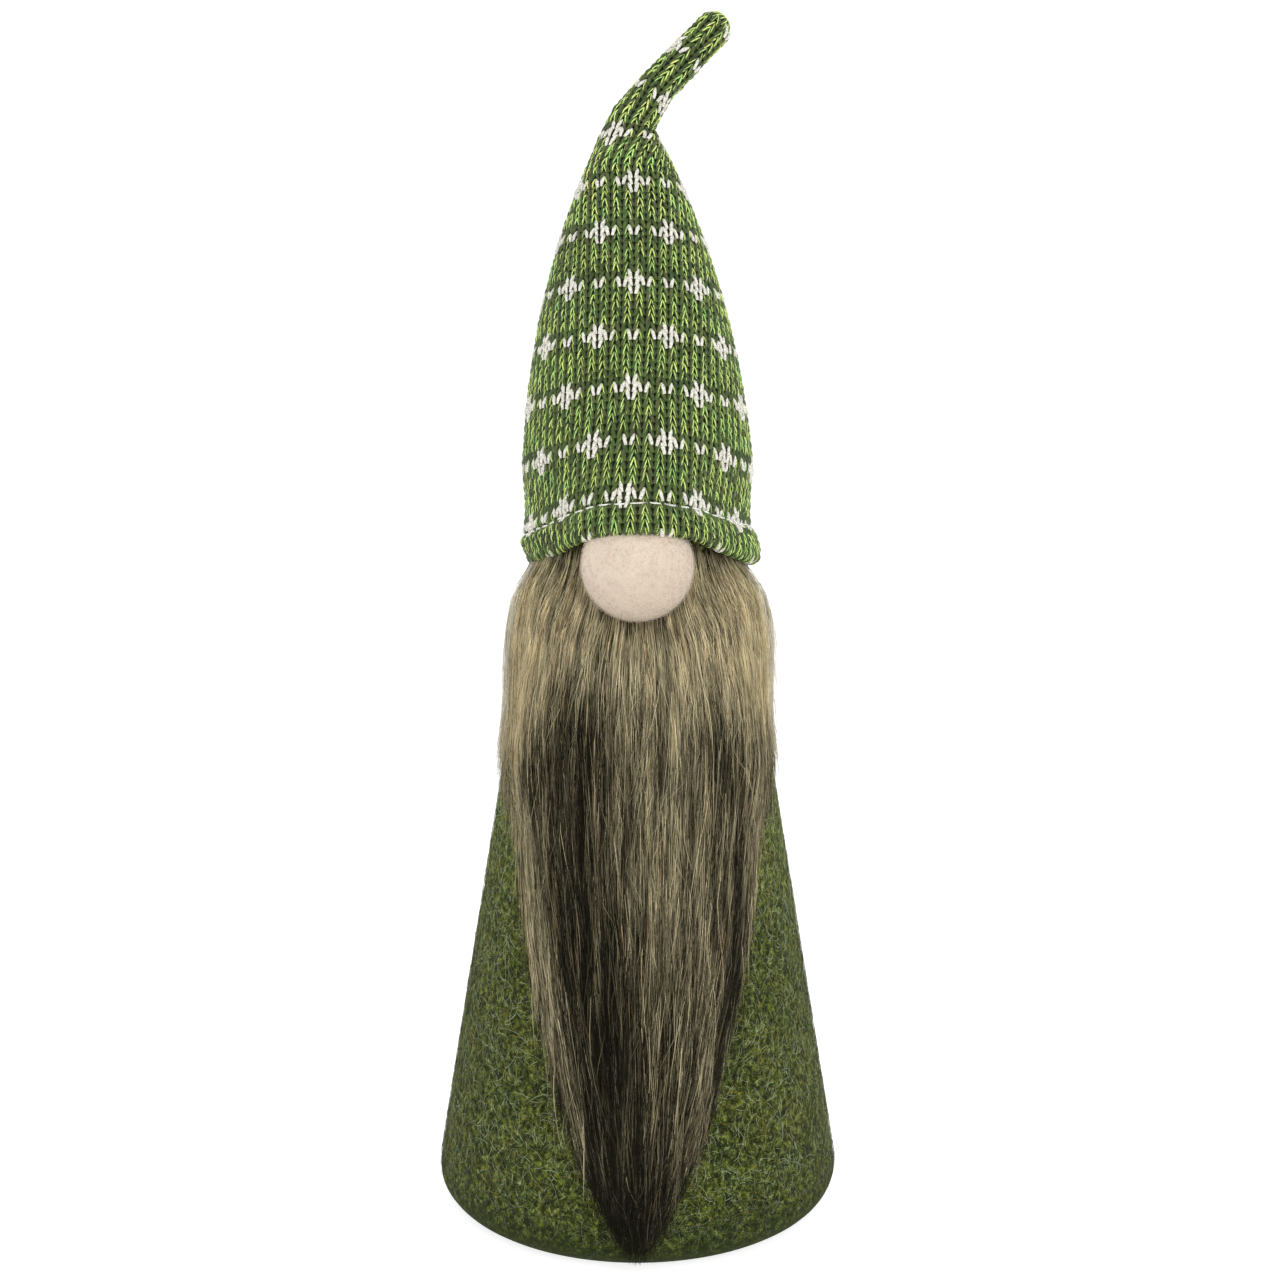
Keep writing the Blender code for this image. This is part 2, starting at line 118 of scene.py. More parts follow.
# The tail.
TAIL_RADII = (0.0085, 0.0066, 0.0062, 0.0062)
TAIL_END_LENGTH = 0.0232
TAIL_TWIST = 1.05
TAIL_NAMES = ("root", "bend", "end")
TAIL_SLEEVES = ("lower", "middle", "tip")

# The knit.
WALE_PITCH = 0.0047
HEM_WALE_PITCH = 0.0043
COURSE_PITCH = 0.00304
FOLD_RADIUS = 0.0022
FOLD_LIFT = 0.0012
MOTIF_COURSE = 5
MOTIF_COURSES = 7
MOTIF_WALES = 6
MOTIF_Z = 0.3070
MOTIF_OFFSET = 0.65
LOW_FRONT = HEM_LOW_Z + HEM_RAISE + FOLD_LIFT
CLOTH_DEPTH = 0.0009
STITCHES_IN_PIECE = 520
HEM_STITCHES = 56
WHITE_YARN = np.array((0.80, 0.775, 0.715))
LIME = np.array((0.70, 0.88, 0.25))
COOL_GREEN = np.array((0.38, 0.72, 0.22))
GROUND_DYES = np.array(
    ((0.066, 0.114, 0.022), (0.098, 0.134, 0.028), (0.112, 0.104, 0.048), (0.038, 0.098, 0.026))
)

# The loose fibres of felt and fleece.
FELT_FIBRE_COUNT = 28000
FELT_FIBRES_IN_PIECE = 9800
FELT_FIBRE_DYES = np.array(
    ((0.040, 0.070, 0.010), (0.250, 0.225, 0.026), (0.380, 0.460, 0.270), (0.006, 0.014, 0.002))
)
FELT_FIBRE_SHARES = (0.20, 0.27, 0.29, 0.24)
NOSE_FIBRE_COUNT = 5200

UP = np.array((0.0, 0.0, 1.0))
FRONT = np.array((0.0, -1.0, 0.0))
BAKE_MAP = "OFBake"
SLOPE_STEP = 0.0004

# Studio.
CAMERA_PLACE = (0.00104, -0.6648, 0.3075)
CAMERA_LENS = 43.0
CAMERA_TILT = math.radians(5.52)
AMBIENT = 0.72
BACKDROP = 1.05
FLOOR_GAP = 0.00005


# ---------------------------------------------------------------- numbers and forms

def smooth(x):
    x = np.clip(x, 0.0, 1.0)
    return x * x * (3.0 - 2.0 * x)


def unit(v):
    return v / np.maximum(np.linalg.norm(v, axis=-1, keepdims=True), 1e-12)


def mix(a, b, share):
    return a + (b - a) * share


def full_turn(count):
    """Angles once round the figure, from its back to its back."""
    return np.linspace(-math.pi, math.pi, count, endpoint=False)


def body_radius(z):
    return BODY_FOOT_RADIUS - BODY_TAPER * z


def around(angle, radius, z):
    """Points at an angle from the front (positive to the right), a radius and a height."""
    return np.stack((radius * np.sin(angle), -radius * np.cos(angle), z + 0.0 * angle), axis=-1)


def body_normals(angle):
    return unit(around(angle, 1.0, 0.0) + UP * BODY_TAPER)


def hat_radius(z):
    share = np.clip((z - HAT_WIDE_Z) / (HAT_NECK_Z - HAT_WIDE_Z), 0.0, 1.0)
    bend = HAT_STRAIGHT_SHARE * share + (1.0 - HAT_STRAIGHT_SHARE) * share**HAT_CURVE
    above = HAT_WIDE_RADIUS - (HAT_WIDE_RADIUS - HAT_NECK_RADIUS) * bend
    below = (HAT_WIDE_Z - z) / (HAT_WIDE_Z - HEM_LOW_Z)
    return above - 0.0010 * smooth(2.0 * below) + HEM_FLARE * smooth(2.0 * below - 1.0)


def nose_bulge(angle, z):
    fall = np.clip((NOSE_BULGE_TOP_Z - z) / (NOSE_BULGE_TOP_Z - NOSE_CENTRE[2] - 0.011), 0.0, 1.0)
    return NOSE_BULGE * fall**1.3 * np.exp(-((angle / NOSE_BULGE_ANGLE) ** 2))


def hem_low(angle):
    return HEM_LOW_Z + HEM_RAISE * np.exp(-((angle / HEM_RAISE_ANGLE) ** 2))


def hem_top(angle):
    return hem_low(angle) + HEM_HEIGHT + HEM_RIGHT_EXTRA * np.maximum(0.0, np.sin(angle)) ** 2


def hem_band(angle, gap):
    """How far the turned-up band stands off the cap, by the drop below its stitching. It hugs the
    cap on the left and stands away a little on the right."""
    band = HEM_PROUD * smooth(gap / 0.0015) + 0.0008 * np.sin(math.pi * np.clip(gap / HEM_HEIGHT, 0, 1))
    return band + HEM_SHIFT * np.sin(angle) * smooth(gap / 0.010) - 0.0018 * smooth(gap / 0.008)


def spine_table():
    """The cap's and tail's centre line by length, smoothed over its bends, with its radius."""
    knots = [(HAT_LEAN, 0.0, HAT_NECK_Z)]
    knots += [tuple(JOINTS[name]["pos_m"]) for name in ("tail_sway", "tail_nod", "tail_curl")]
    knots = np.array(knots)
    lean = unit(knots[-1] - knots[-2])
    knots = np.vstack((knots, knots[-1] + lean * TAIL_END_LENGTH))
    start = HAT_NECK_Z - 0.020
    below = np.array([(HAT_LEAN * 0.85, 0.0, start)])
    line = np.vstack((below, knots, knots[-1] + lean * 0.03))
    steps = np.linalg.norm(np.diff(line, axis=0), axis=1)
    s_line = start + np.concatenate(([0.0], np.cumsum(steps)))
    s = np.arange(start, s_line[-1], 0.0005)
    window = np.hanning(25)
    window = window / window.sum()

    def softened(values):
        return np.convolve(np.pad(values, 12, mode="edge"), window, mode="valid")

    points = np.stack([np.interp(s, s_line, line[:, i]) for i in range(3)], axis=-1)
    soft = np.stack([softened(points[:, i]) for i in range(3)], axis=-1)
    blend = smooth((s - HAT_NECK_Z) / 0.004)[:, None]
    points = points * (1.0 - blend) + soft * blend
    radii = np.interp(s, s_line[1:6], (HAT_NECK_RADIUS,) + TAIL_RADII)
    radii = np.where(s > HAT_NECK_Z + 0.002, softened(radii), radii)
    return s, points, radii, s_line


SPINE_S, SPINE_POINTS, SPINE_RADII, SPINE_KNOTS = spine_table()
S_FOOT, S_MIDDLE, S_TIP, TAIL_END_S = SPINE_KNOTS[2:6]


def spine(s):
    """Centre, direction, side direction and radius of the cap's form at length s."""
    def line(at, axis):
        return np.interp(at, SPINE_S, SPINE_POINTS[:, axis])

    low = s <= HAT_NECK_Z
    lean = HAT_LEAN * np.maximum(0.0, (s - HAT_WIDE_Z) / (HAT_NECK_Z - HAT_WIDE_Z))
    x = np.where(low, lean, line(s, 0))
    z = np.where(low, s, line(s, 2))
    ahead = np.maximum(s, HAT_NECK_Z)
    dx, dz = (line(ahead + 0.001, axis) - line(ahead, axis) for axis in (0, 2))
    bend = smooth((s - HAT_NECK_Z + 0.004) / 0.008)
    along = unit(np.stack((dx * bend, 0.0 * dx, np.maximum(dz, 1e-9)), axis=-1))
    centre = np.stack((x, 0.0 * x, z), axis=-1)
    radius = np.where(low, hat_radius(s), np.interp(s, SPINE_S, SPINE_RADII))
    cap = np.clip((s - (TAIL_END_S - TAIL_RADII[3])) / TAIL_RADII[3], 0.0, 1.0)
    radius = radius * np.sqrt(np.maximum(1.0 - cap**2, 0.0004))
    return centre, along, np.cross(along, FRONT), radius


def radius_at(s):
    return spine(s)[3]


def hat_surface(angle, s, out):
    """Points, outward directions and directions up the cap's face, standing out from it by out."""
    centre, along, side, radius = spine(s)
    slope = np.clip((radius_at(s + SLOPE_STEP) - radius) / SLOPE_STEP, -4.0, 1.5)
    radial = side * np.sin(angle)[..., None] + FRONT * np.cos(angle)[..., None]
    outward = unit(radial - along * slope[..., None])
    reach = radius + np.where(s < HAT_WIDE_Z + 0.03, nose_bulge(angle, s), 0.0)
    return centre + radial * reach[..., None] + outward * out[..., None], outward, along


def wale_pitch(front):
    return mix(HEM_WALE_PITCH, WALE_PITCH, smooth((front - 0.300) / 0.035))


def wale_angle(wale, front):
    """Angle of a wale, counted from the one nearest the front, at a height at the front."""
    lean = mix(math.radians(-5.1), math.radians(3.0), np.clip((front - 0.306) / 0.124, 0.0, 1.0))
    twist = TAIL_TWIST * smooth((front - 0.440) / 0.030)
    return lean + twist + wale * wale_pitch(front) / np.maximum(radius_at(front), 0.004)


def knit(wale, course, out):
    """Points and outward directions on the knitted cloth. wale and course count stitches, and
    course 0 is near the fold of the hem."""
    quarter = FOLD_RADIUS * math.pi / 2.0
    first = MOTIF_COURSE + MOTIF_OFFSET - (MOTIF_Z - LOW_FRONT - FOLD_RADIUS + quarter) / COURSE_PITCH
    length = (course - first) * COURSE_PITCH
    phi = np.clip(length / FOLD_RADIUS, -math.pi / 2.0, math.pi / 2.0)
    beyond = np.maximum(np.abs(length) - quarter, 0.0)
    front = LOW_FRONT + FOLD_RADIUS * (1.0 - np.cos(phi)) + beyond
    angle = wale_angle(wale, front)
    limit = math.pi - 0.0012 / np.maximum(radius_at(front), 0.004)
    tucked = np.clip(np.abs(angle) - limit, 0.0, None)
    angle = np.clip(angle, -limit, limit)
    arch = HEM_RAISE * (1.0 - np.exp(-((angle / HEM_RAISE_ANGLE) ** 2)))
    above = np.maximum(front - 0.306, 0.0) / 0.055
    s = front - arch * np.exp(-(above**1.3)) * (1.0 - smooth((front - 0.40) / 0.05))
    s = np.minimum(s, TAIL_END_S - 0.00005)
    gap = hem_top(angle) - s
    band = hem_band(angle, gap)
    groove = -0.0007 * np.exp(-((gap / 0.0016) ** 2))
    inward = FOLD_RADIUS * (np.sin(phi) - 1.0)
    from_seam = (math.pi - np.abs(angle)) * radius_at(front)
    seam = -0.0022 * np.exp(-((from_seam / 0.0035) ** 2)) - tucked * 0.01
    points, outward, along = hat_surface(angle, s, band + groove + inward + seam)
    turned = outward * np.sin(phi)[..., None] - along * np.cos(phi)[..., None]
    return points + turned * out[..., None], unit(turned)


# ---------------------------------------------------------------- meshes

def mesh_object(name, points, face_groups, material, values=None, colours=None, uvs=None):
    """An object from arrays: face_groups are (n, corners) arrays of point numbers."""
    mesh = bpy.data.meshes.new(name)
    loops = np.concatenate([faces.ravel() for faces in face_groups]).astype(np.int32)
    sizes = np.concatenate([np.full(len(faces), faces.shape[1]) for faces in face_groups])
    starts = np.concatenate(([0], np.cumsum(sizes)[:-1])).astype(np.int32)
    mesh.vertices.add(len(points))
    mesh.vertices.foreach_set("co", points.astype(np.float32).ravel())
    mesh.loops.add(len(loops))
    mesh.loops.foreach_set("vertex_index", loops)
    mesh.polygons.add(len(sizes))
    mesh.polygons.foreach_set("loop_start", starts)
    mesh.update(calc_edges=True)
    mesh.polygons.foreach_set("use_smooth", np.ones(len(sizes), bool))
    rest = mesh.attributes.new("rest", "FLOAT_VECTOR", "POINT")
    rest.data.foreach_set("vector", points.astype(np.float32).ravel())
    for key, array in (values or {}).items():
        layer = mesh.attributes.new(key, "FLOAT", "POINT")
        layer.data.foreach_set("value", array.astype(np.float32).ravel())
    if colours is not None:
        rgba = np.concatenate((colours, np.ones((len(colours), 1))), axis=1)
        layer = mesh.attributes.new("dye", "FLOAT_COLOR", "POINT")
        layer.data.foreach_set("color", rgba.astype(np.float32).ravel())
    if uvs is not None:
        layer = mesh.uv_layers.new(name=BAKE_MAP)
        layer.data.foreach_set("uv", uvs.astype(np.float32).ravel())
    mesh.materials.append(material)
    thing = bpy.data.objects.new(name, mesh)
    bpy.context.scene.collection.objects.link(thing)
    return thing


def strands(name, paths, normals, wide, thick, colours, material, sides=6, twist=0.0):
    """One closed tube for each path. paths and normals are (n, k, 3), wide and thick are half
    sizes, (n, k), and colours (n, 3) or (n, k, 3). twist, in half turns, gives it two plies."""
    n, k = paths.shape[:2]
    along = unit(np.gradient(paths, axis=1))
    side = unit(np.cross(along, normals))
    up = np.cross(side, along)
    turn = -math.pi / 2.0 + 2.0 * math.pi * np.arange(sides) / sides
    share = np.linspace(0.0, 1.0, k)
    ply = turn[None, :] - math.pi * twist * share[:, None]
    lobes = 1.0 - (0.20 * np.sin(ply) ** 2 if twist else 0.0 * ply)
    ring = (
        side[:, :, None] * (np.cos(turn) * lobes * wide[:, :, None])[..., None]
        + up[:, :, None] * (np.sin(turn) * lobes * thick[:, :, None])[..., None]
    )
    points = (paths[:, :, None] + ring).reshape(-1, 3)
    base = (np.arange(n) * k * sides)[:, None, None]
    row = (np.arange(k - 1) * sides)[None, :, None]
    j = np.arange(sides)[None, None, :]
    following = (j + 1) % sides
    low, high = base + row, base + row + sides
    quads = np.stack((low + j, high + j, high + following, low + following), axis=-1).reshape(-1, 4)
    caps = np.concatenate((base[:, 0] + j[0], (base[:, 0] + (k - 1) * sides + j[0])[:, ::-1]))
    if colours.ndim == 2:
        colours = np.repeat(colours[:, None], k, axis=1)
    dye = np.repeat(colours[:, :, None], sides, axis=2).reshape(-1, 3)
    values = {
        "along": np.broadcast_to(share[None, :, None], (n, k, sides)),
        "turn": np.broadcast_to((np.arange(sides) / sides)[None, None], (n, k, sides)),
    }
    cells = math.ceil(math.sqrt(n))
    corner = np.stack((np.arange(n) % cells, np.arange(n) // cells), axis=-1)[:, None, None]
    grid = np.stack(np.meshgrid(np.arange(sides) / sides, np.arange(k - 1) / (k - 1.0)), axis=-1)
    across, ahead = np.array((1.0 / sides, 0.0)), np.array((0.0, 1.0 / (k - 1.0)))
    quad_uv = np.stack((grid, grid + ahead, grid + ahead + across, grid + across), axis=-2)
    quad_uv = 0.06 + 0.88 * quad_uv
    quad_uv = (corner[..., None, :] + quad_uv[None]).reshape(-1, 2) / cells
    cap_corner = np.repeat(corner[:, 0, 0], sides, axis=0)
    cap_uv = np.concatenate((cap_corner + (0.5, 0.07), cap_corner + (0.5, 0.93))) / cells
    uvs = np.concatenate((quad_uv, cap_uv))
    return mesh_object(name, points, [quads, caps], material, values, dye, uvs)


def ring_faces(rows, columns):
    """Point numbers of a grid that is round in its columns, and its faces."""
    grid = np.arange(rows * columns).reshape(rows, columns)
    following = np.roll(grid, -1, axis=1)
    faces = np.stack((grid[:-1], grid[1:], following[1:], following[:-1]), axis=-1)
    return grid, faces.reshape(-1, 4)


def shell(name, outer, inner, material, closed_round=True):
    """A closed sheet between two grids of points, (rows, columns, 3), round in columns."""
    rows, columns = outer.shape[:2]
    points = np.concatenate((outer.reshape(-1, 3), inner.reshape(-1, 3)))
    count = rows * columns
    i = np.arange(rows - 1)[:, None] * columns
    j = np.arange(columns if closed_round else columns - 1)
    following = (j + 1) % columns
    face = np.stack((i + j, i + following, i + columns + following, i + columns + j), axis=-1)
    front = face.reshape(-1, 4)
    back = front[:, ::-1] + count
    low = np.stack((j, j + count, following + count, following), axis=-1)
    top = (rows - 1) * columns
    high = np.stack((top + following, top + following + count, top + j + count, top + j), axis=-1)
    groups = [front, back, low, high]
    if not closed_round:
        i = np.arange(rows - 1) * columns
        groups.append(np.stack((i, i + columns, i + columns + count, i + count), axis=-1))
        e = i + columns - 1
        groups.append(np.stack((e, e + count, e + columns + count, e + columns), axis=-1))
    return mesh_object(name, points, groups, material)


# ---------------------------------------------------------------- materials

class Nodes:
    """A material under construction, with a Principled shader wired to its output."""

    def __init__(self, name, roughness=0.9, **sockets):
        self.material = bpy.data.materials.new(name)
        self.material.use_nodes = True
        self.tree = self.material.node_tree
        self.tree.nodes.clear()
        out = self.tree.nodes.new("ShaderNodeOutputMaterial")
        self.shader = self.tree.nodes.new("ShaderNodeBsdfPrincipled")
        self.tree.links.new(self.shader.outputs[0], out.inputs["Surface"])
        self.shader.inputs["Roughness"].default_value = roughness
        self.shader.inputs["Specular IOR Level"].default_value = 0.25
        for key, value in sockets.items():
            self.shader.inputs[key.replace("_", " ")].default_value = value

    def add(self, kind, inputs=None, **settings):
        made = self.tree.nodes.new("ShaderNode" + kind)
        for key, value in settings.items():
            setattr(made, key, value)
        for key, value in (inputs or {}).items():
            self.feed(made.inputs[key], value)
        return made

    def feed(self, socket, value):
        if isinstance(value, bpy.types.NodeSocket):
            self.tree.links.new(value, socket)
        elif isinstance(value, (tuple, list)) and len(value) == 3 and socket.type == "RGBA":
            socket.default_value = (*value, 1.0)
        else:
            socket.default_value = value

    def attribute(self, key, output="Fac"):
        return self.add("Attribute", attribute_name=key).outputs[output]

    def rest(self):
        return self.attribute("rest", "Vector")

    def place(self):
        return self.add("TexCoord").outputs["Object"]

    def noise(self, where, scale, detail=3.0, roughness=0.6, distortion=0.0, stretch=None):
        if stretch:
            where = self.add("Mapping", {"Vector": where, "Scale": stretch}).outputs[0]
        sockets = {"Vector": where, "Scale": scale, "Detail": detail, "Roughness": roughness}
        return self.add("TexNoise", {**sockets, "Distortion": distortion}).outputs["Fac"]

    def wave(self, where, scale, direction, distortion, **sockets):
        sockets = {"Vector": where, "Scale": scale, "Distortion": distortion, **sockets}
        return self.add("TexWave", sockets, bands_direction=direction).outputs["Fac"]

    def math(self, operation, a, b=0.0, c=0.0):
        return self.add("Math", {0: a, 1: b, 2: c}, operation=operation).outputs[0]

    def times(self, a, b):
        return self.math("MULTIPLY", a, b)

    def plus(self, a, b):
        return self.math("ADD", a, b)

    def ramp(self, value, stops):
        made = self.add("ValToRGB", {"Fac": value})
        elements = made.color_ramp.elements
        while len(elements) < len(stops):
            elements.new(0.5)
        for element, (position, colour) in zip(elements, stops):
            element.position = position
            element.color = (*colour, 1.0)
        return made.outputs["Color"]

    def step(self, value, low, high):
        sockets = {"Value": value, "From Min": low, "From Max": high}
        return self.add("MapRange", sockets, interpolation_type="SMOOTHSTEP").outputs["Result"]

    def blend(self, share, a, b, mode="MIX"):
        made = self.add("Mix", data_type="RGBA", blend_type=mode)
        self.feed(made.inputs[0], share)
        self.feed(made.inputs[6], a)
        self.feed(made.inputs[7], b)
        return made.outputs[2]

    def bump(self, height, strength, distance):
        made = self.add("Bump", {"Height": height, "Strength": strength, "Distance": distance})
        self.tree.links.new(made.outputs[0], self.shader.inputs["Normal"])

    def colour(self, value):
        self.feed(self.shader.inputs["Base Color"], value)

    def dyed(self, shade):
        """Colours it with the mesh's own dye, multiplied by a shade."""
        self.colour(self.blend(1.0, self.attribute("dye", "Color"), shade, "MULTIPLY"))

    def rough(self, value):
        self.feed(self.shader.inputs["Roughness"], value)


def yarn_material():
    """Spun yarn in its own dye: fibres run round it in a twist and vary in depth of colour."""
    m = Nodes("yarn", 0.88, Sheen_Weight=0.08, Sheen_Roughness=0.5)
    spot = m.noise(m.rest(), 1500.0, 3.0, 0.7)
    slope = m.plus(m.times(m.attribute("along"), 3.2), m.attribute("turn"))
    twist = m.math("SINE", m.times(slope, 2.0 * math.pi * 3.0))
    fibre = m.plus(m.times(twist, 0.14), spot)
    stops = [(0.28, (0.40, 0.41, 0.38)), (0.52, (0.94, 0.95, 0.92)), (0.76, (1.62, 1.62, 1.50))]
    m.dyed(m.ramp(fibre, stops))
    m.rough(m.step(fibre, 0.2, 0.9))
    m.bump(fibre, 0.55, 0.0004)
    return m.material


def cloth_material():
    """The dark reverse of the knit, seen between stitches and inside the hem."""
    m = Nodes("knit_reverse", 0.95, Sheen_Weight=0.2)
    spot = m.noise(m.rest(), 900.0, 4.0, 0.7)
    stops = [(0.3, (0.030, 0.042, 0.014)), (0.55, (0.060, 0.080, 0.026)), (0.75, (0.11, 0.14, 0.05))]
    m.colour(m.ramp(spot, stops))
    m.rough(m.step(spot, -1.0, 0.8))
    m.bump(spot, 0.6, 0.0005)
    return m.material


def hair_material():
    """Long pile in its own dye and painted shade and light, a little banded along each strand."""
    m = Nodes("beard_pile", 0.7, Specular_IOR_Level=0.12)
    band = m.noise(m.rest(), 260.0, 2.0, 0.5, 0.0, (1.0, 1.0, 0.16))
    m.dyed(m.ramp(band, [(0.3, (0.66, 0.64, 0.60)), (0.5, (0.98, 0.98, 0.98)), (0.72, (1.34, 1.32, 1.28))]))
    m.rough(m.step(band, -0.9, 1.1))
    return m.material


def backing_material():
    """Knitted fur backing: fine rows of grey-brown loops."""
    m = Nodes("beard_backing", 0.95)
    where = m.rest()
    loops = m.wave(where, 260.0, "Z", 3.0, Detail=2.0)
    spot = m.noise(where, 700.0, 3.0)
    m.colour(m.blend(loops, (0.050, 0.040, 0.026), (0.13, 0.105, 0.070)))
    m.rough(m.step(spot, -1.2, 0.8))
    m.bump(loops, 0.5, 0.0004)
    return m.material


def fibre_lines(m, where, scale, width, seed):
    """Curling lines, one for each place where a warped noise crosses its middle value."""
    moved = m.add("Mapping", {"Vector": where, "Location": (seed, seed * 1.7, seed * 0.6)}).outputs[0]
    value = m.noise(moved, scale, 1.5, 0.5, 0.9)
    return m.math("SUBTRACT", 1.0, m.step(m.math("ABSOLUTE", m.math("SUBTRACT", value, 0.5)), 0.0, width))


# Lines of fibre in the felt: scale, width, seed, strength and colour.
FELT_LINES = (
    (380.0, 0.026, 3.1, 0.75, (0.004, 0.010, 0.001)),
    (330.0, 0.022, 9.4, 0.65, (0.190, 0.175, 0.016)),
    (420.0, 0.020, 12.2, 0.65, (0.120, 0.175, 0.030)),
    (350.0, 0.017, 17.9, 0.75, (0.300, 0.370, 0.200)),
    (460.0, 0.016, 26.3, 0.70, (0.380, 0.430, 0.290)),
)


def felt_material():
    """Heathered felt: deep green ground, olive and pale fibres matted in every direction."""
    sheen = {"Sheen_Weight": 0.06, "Sheen_Roughness": 0.6, "Sheen_Tint": (0.75, 0.85, 0.45, 1.0)}
    m = Nodes("felt", 0.96, Specular_IOR_Level=0.08, **sheen)
    where = m.rest()
    cloud = m.noise(where, 55.0, 4.0, 0.65)
    patch = m.noise(where, 170.0, 3.0, 0.6)
    grain = m.noise(where, 620.0, 4.0, 0.8, 0.8)
    stops = [(0.36, (0.004, 0.010, 0.001)), (0.50, (0.036, 0.060, 0.006)), (0.63, (0.125, 0.150, 0.022))]
    ground = m.ramp(grain, stops)
    ground = m.blend(m.times(m.step(cloud, 0.38, 0.70), 0.6), ground, (0.100, 0.098, 0.008))
    ground = m.blend(m.times(m.step(patch, 0.48, 0.72), 0.55), ground, (0.012, 0.030, 0.008))
    for scale, width, seed, strength, dye in FELT_LINES:
        line = fibre_lines(m, where, scale, width, seed)
        ground = m.blend(m.times(line, strength), ground, dye)
    stops = [(0.38, (0.11, 0.13, 0.11)), (0.50, (0.53, 0.54, 0.48)), (0.62, (1.62, 1.56, 1.32))]
    ground = m.blend(1.0, ground, m.ramp(m.noise(where, 390.0, 4.0, 0.72), stops), "MULTIPLY")
    rise = m.add("SeparateXYZ", {"Vector": where}).outputs["Z"]
    # Painted light: from 0.10 m upwards the felt is made up to 1.65 times as light.
    painted_light_above = m.times(m.step(rise, 0.100, 0.190), 0.5)
    ground = m.blend(painted_light_above, ground, (2.3, 2.3, 2.3), "MULTIPLY")
    # Painted shade: towards its rounded foot the felt turns near black.
    m.colour(m.blend(m.step(rise, 0.024, -0.002), ground, (0.010, 0.016, 0.003)))
    height = m.plus(m.times(grain, 0.8), m.times(line, 2.0))
    m.rough(m.step(grain, -1.5, 0.7))
    m.bump(height, 0.7, 0.0006)
    return m.material


def fleece_material():
    """Brushed fleece over a fine diagonal knit."""
    sheen = {"Sheen_Weight": 0.15, "Sheen_Roughness": 0.45}
    depth = {"Subsurface_Weight": 0.12, "Subsurface_Radius": (0.004, 0.002, 0.001), "Subsurface_Scale": 0.6}
    m = Nodes("fleece", 0.95, **sheen, **depth)
    where = m.rest()
    turned = m.add("Mapping", {"Vector": where, "Rotation": (0.0, math.radians(38), 0.0)}).outputs[0]
    rib = m.wave(turned, 330.0, "X", 2.2, **{"Detail": 3.0, "Detail Scale": 2.0})
    cloud = m.noise(where, 70.0, 3.0)
    fuzz = m.noise(where, 1100.0, 4.0, 0.75)
    stops = [(0.32, (0.70, 0.592, 0.480)), (0.50, (0.725, 0.615, 0.502)), (0.70, (0.745, 0.643, 0.522))]
    base = m.ramp(cloud, stops)
    base = m.blend(m.times(rib, 0.13), base, (0.57, 0.455, 0.355))
    base = m.blend(m.step(fuzz, 0.62, 0.80), base, (0.76, 0.66, 0.56))
    # Painted light: the fleece is lighter towards the top and a little to the left, and darker towards the
    # bottom.
    place = m.add("SeparateXYZ", {"Vector": where}).outputs
    height = m.plus(m.times(place["X"], -0.4), place["Z"])
    stops = [(0.0, (0.88, 0.86, 0.84)), (0.5, (0.965, 0.96, 0.955)), (1.0, (1.08, 1.08, 1.08))]
    m.colour(m.blend(1.0, base, m.ramp(m.step(height, 0.256, 0.300), stops), "MULTIPLY"))
    m.rough(m.step(fuzz, -1.5, 0.6))
    m.bump(m.plus(m.times(rib, 0.5), fuzz), 0.35, 0.0004)
    return m.material


def plain_thread(name, colour, scale):
    """A twisted sewing thread."""
    m = Nodes(name, 0.8, Sheen_Weight=0.2)
    ply = m.wave(m.place(), scale, "DIAGONAL", 1.5)
    m.colour(m.blend(ply, tuple(c * 0.55 for c in colour), colour))
    m.rough(m.step(ply, -2.0, 1.4))
    m.bump(ply, 0.5, 0.0002)
    return m.material


def speckled(name, dark, light, scale, roughness, bump):
    """Board, card, sacking or stuffing: a mottled matt material."""
    m = Nodes(name, roughness)
    spot = m.noise(m.place(), scale, 5.0, 0.7)
    m.colour(m.ramp(spot, [(0.3, dark), (0.7, light)]))
    m.rough(m.step(spot, -2.0, 1.2))
    m.bump(spot, bump, 0.0006)
    return m.material


def fibre_material(name, scale, sheen, stops):
    """Loose fibres, and the colour of their shades."""
    m = Nodes(name, 0.9, Sheen_Weight=sheen)
    tone = m.noise(m.rest(), scale, 2.0)
    m.rough(m.step(tone, -2.0, 0.8))
    return m, m.ramp(tone, stops)


def wire_material():
    m = Nodes("steel_wire", 0.35, Metallic=1.0)
    spot = m.noise(m.place(), 900.0, 3.0)
    m.colour(m.ramp(spot, [(0.3, (0.30, 0.29, 0.27)), (0.7, (0.55, 0.54, 0.51))]))
    m.rough(m.step(spot, -0.6, 2.0))
    return m.material


# ---------------------------------------------------------------- the knitted cap and tail

def motif(wale, course):
    """Row in the motif (-3 to 3) and wale in it (-2 to 3) of each stitch."""
    lifted = course - MOTIF_COURSE + 3
    row = lifted % MOTIF_COURSES - 3
    shift = 3 * ((lifted // MOTIF_COURSES) % 2)
    column = (wale - shift + 2) % MOTIF_WALES - 2
    return row, column


def all_stitches():
    """Wale and course of every stitch of the cloth, which is cut along the back seam."""
    courses = np.arange(-4, int((TAIL_END_S - HEM_LOW_Z - HEM_RAISE) / COURSE_PITCH) + 2)
    wales = np.arange(-40, 41)
    wale, course = (grid.ravel() for grid in np.meshgrid(wales, courses))
    first = MOTIF_COURSE + MOTIF_OFFSET - (MOTIF_Z - LOW_FRONT + 0.00125) / COURSE_PITCH
    front = LOW_FRONT + np.abs(course - first) * COURSE_PITCH
    angle = wale_angle(wale, front + 0.002)
    kept = np.abs(angle) < math.pi - 0.0010 / np.maximum(radius_at(front + 0.002), 0.004)
    kept &= front < TAIL_END_S - 0.0018
    return wale[kept].astype(float), course[kept].astype(float), front[kept]


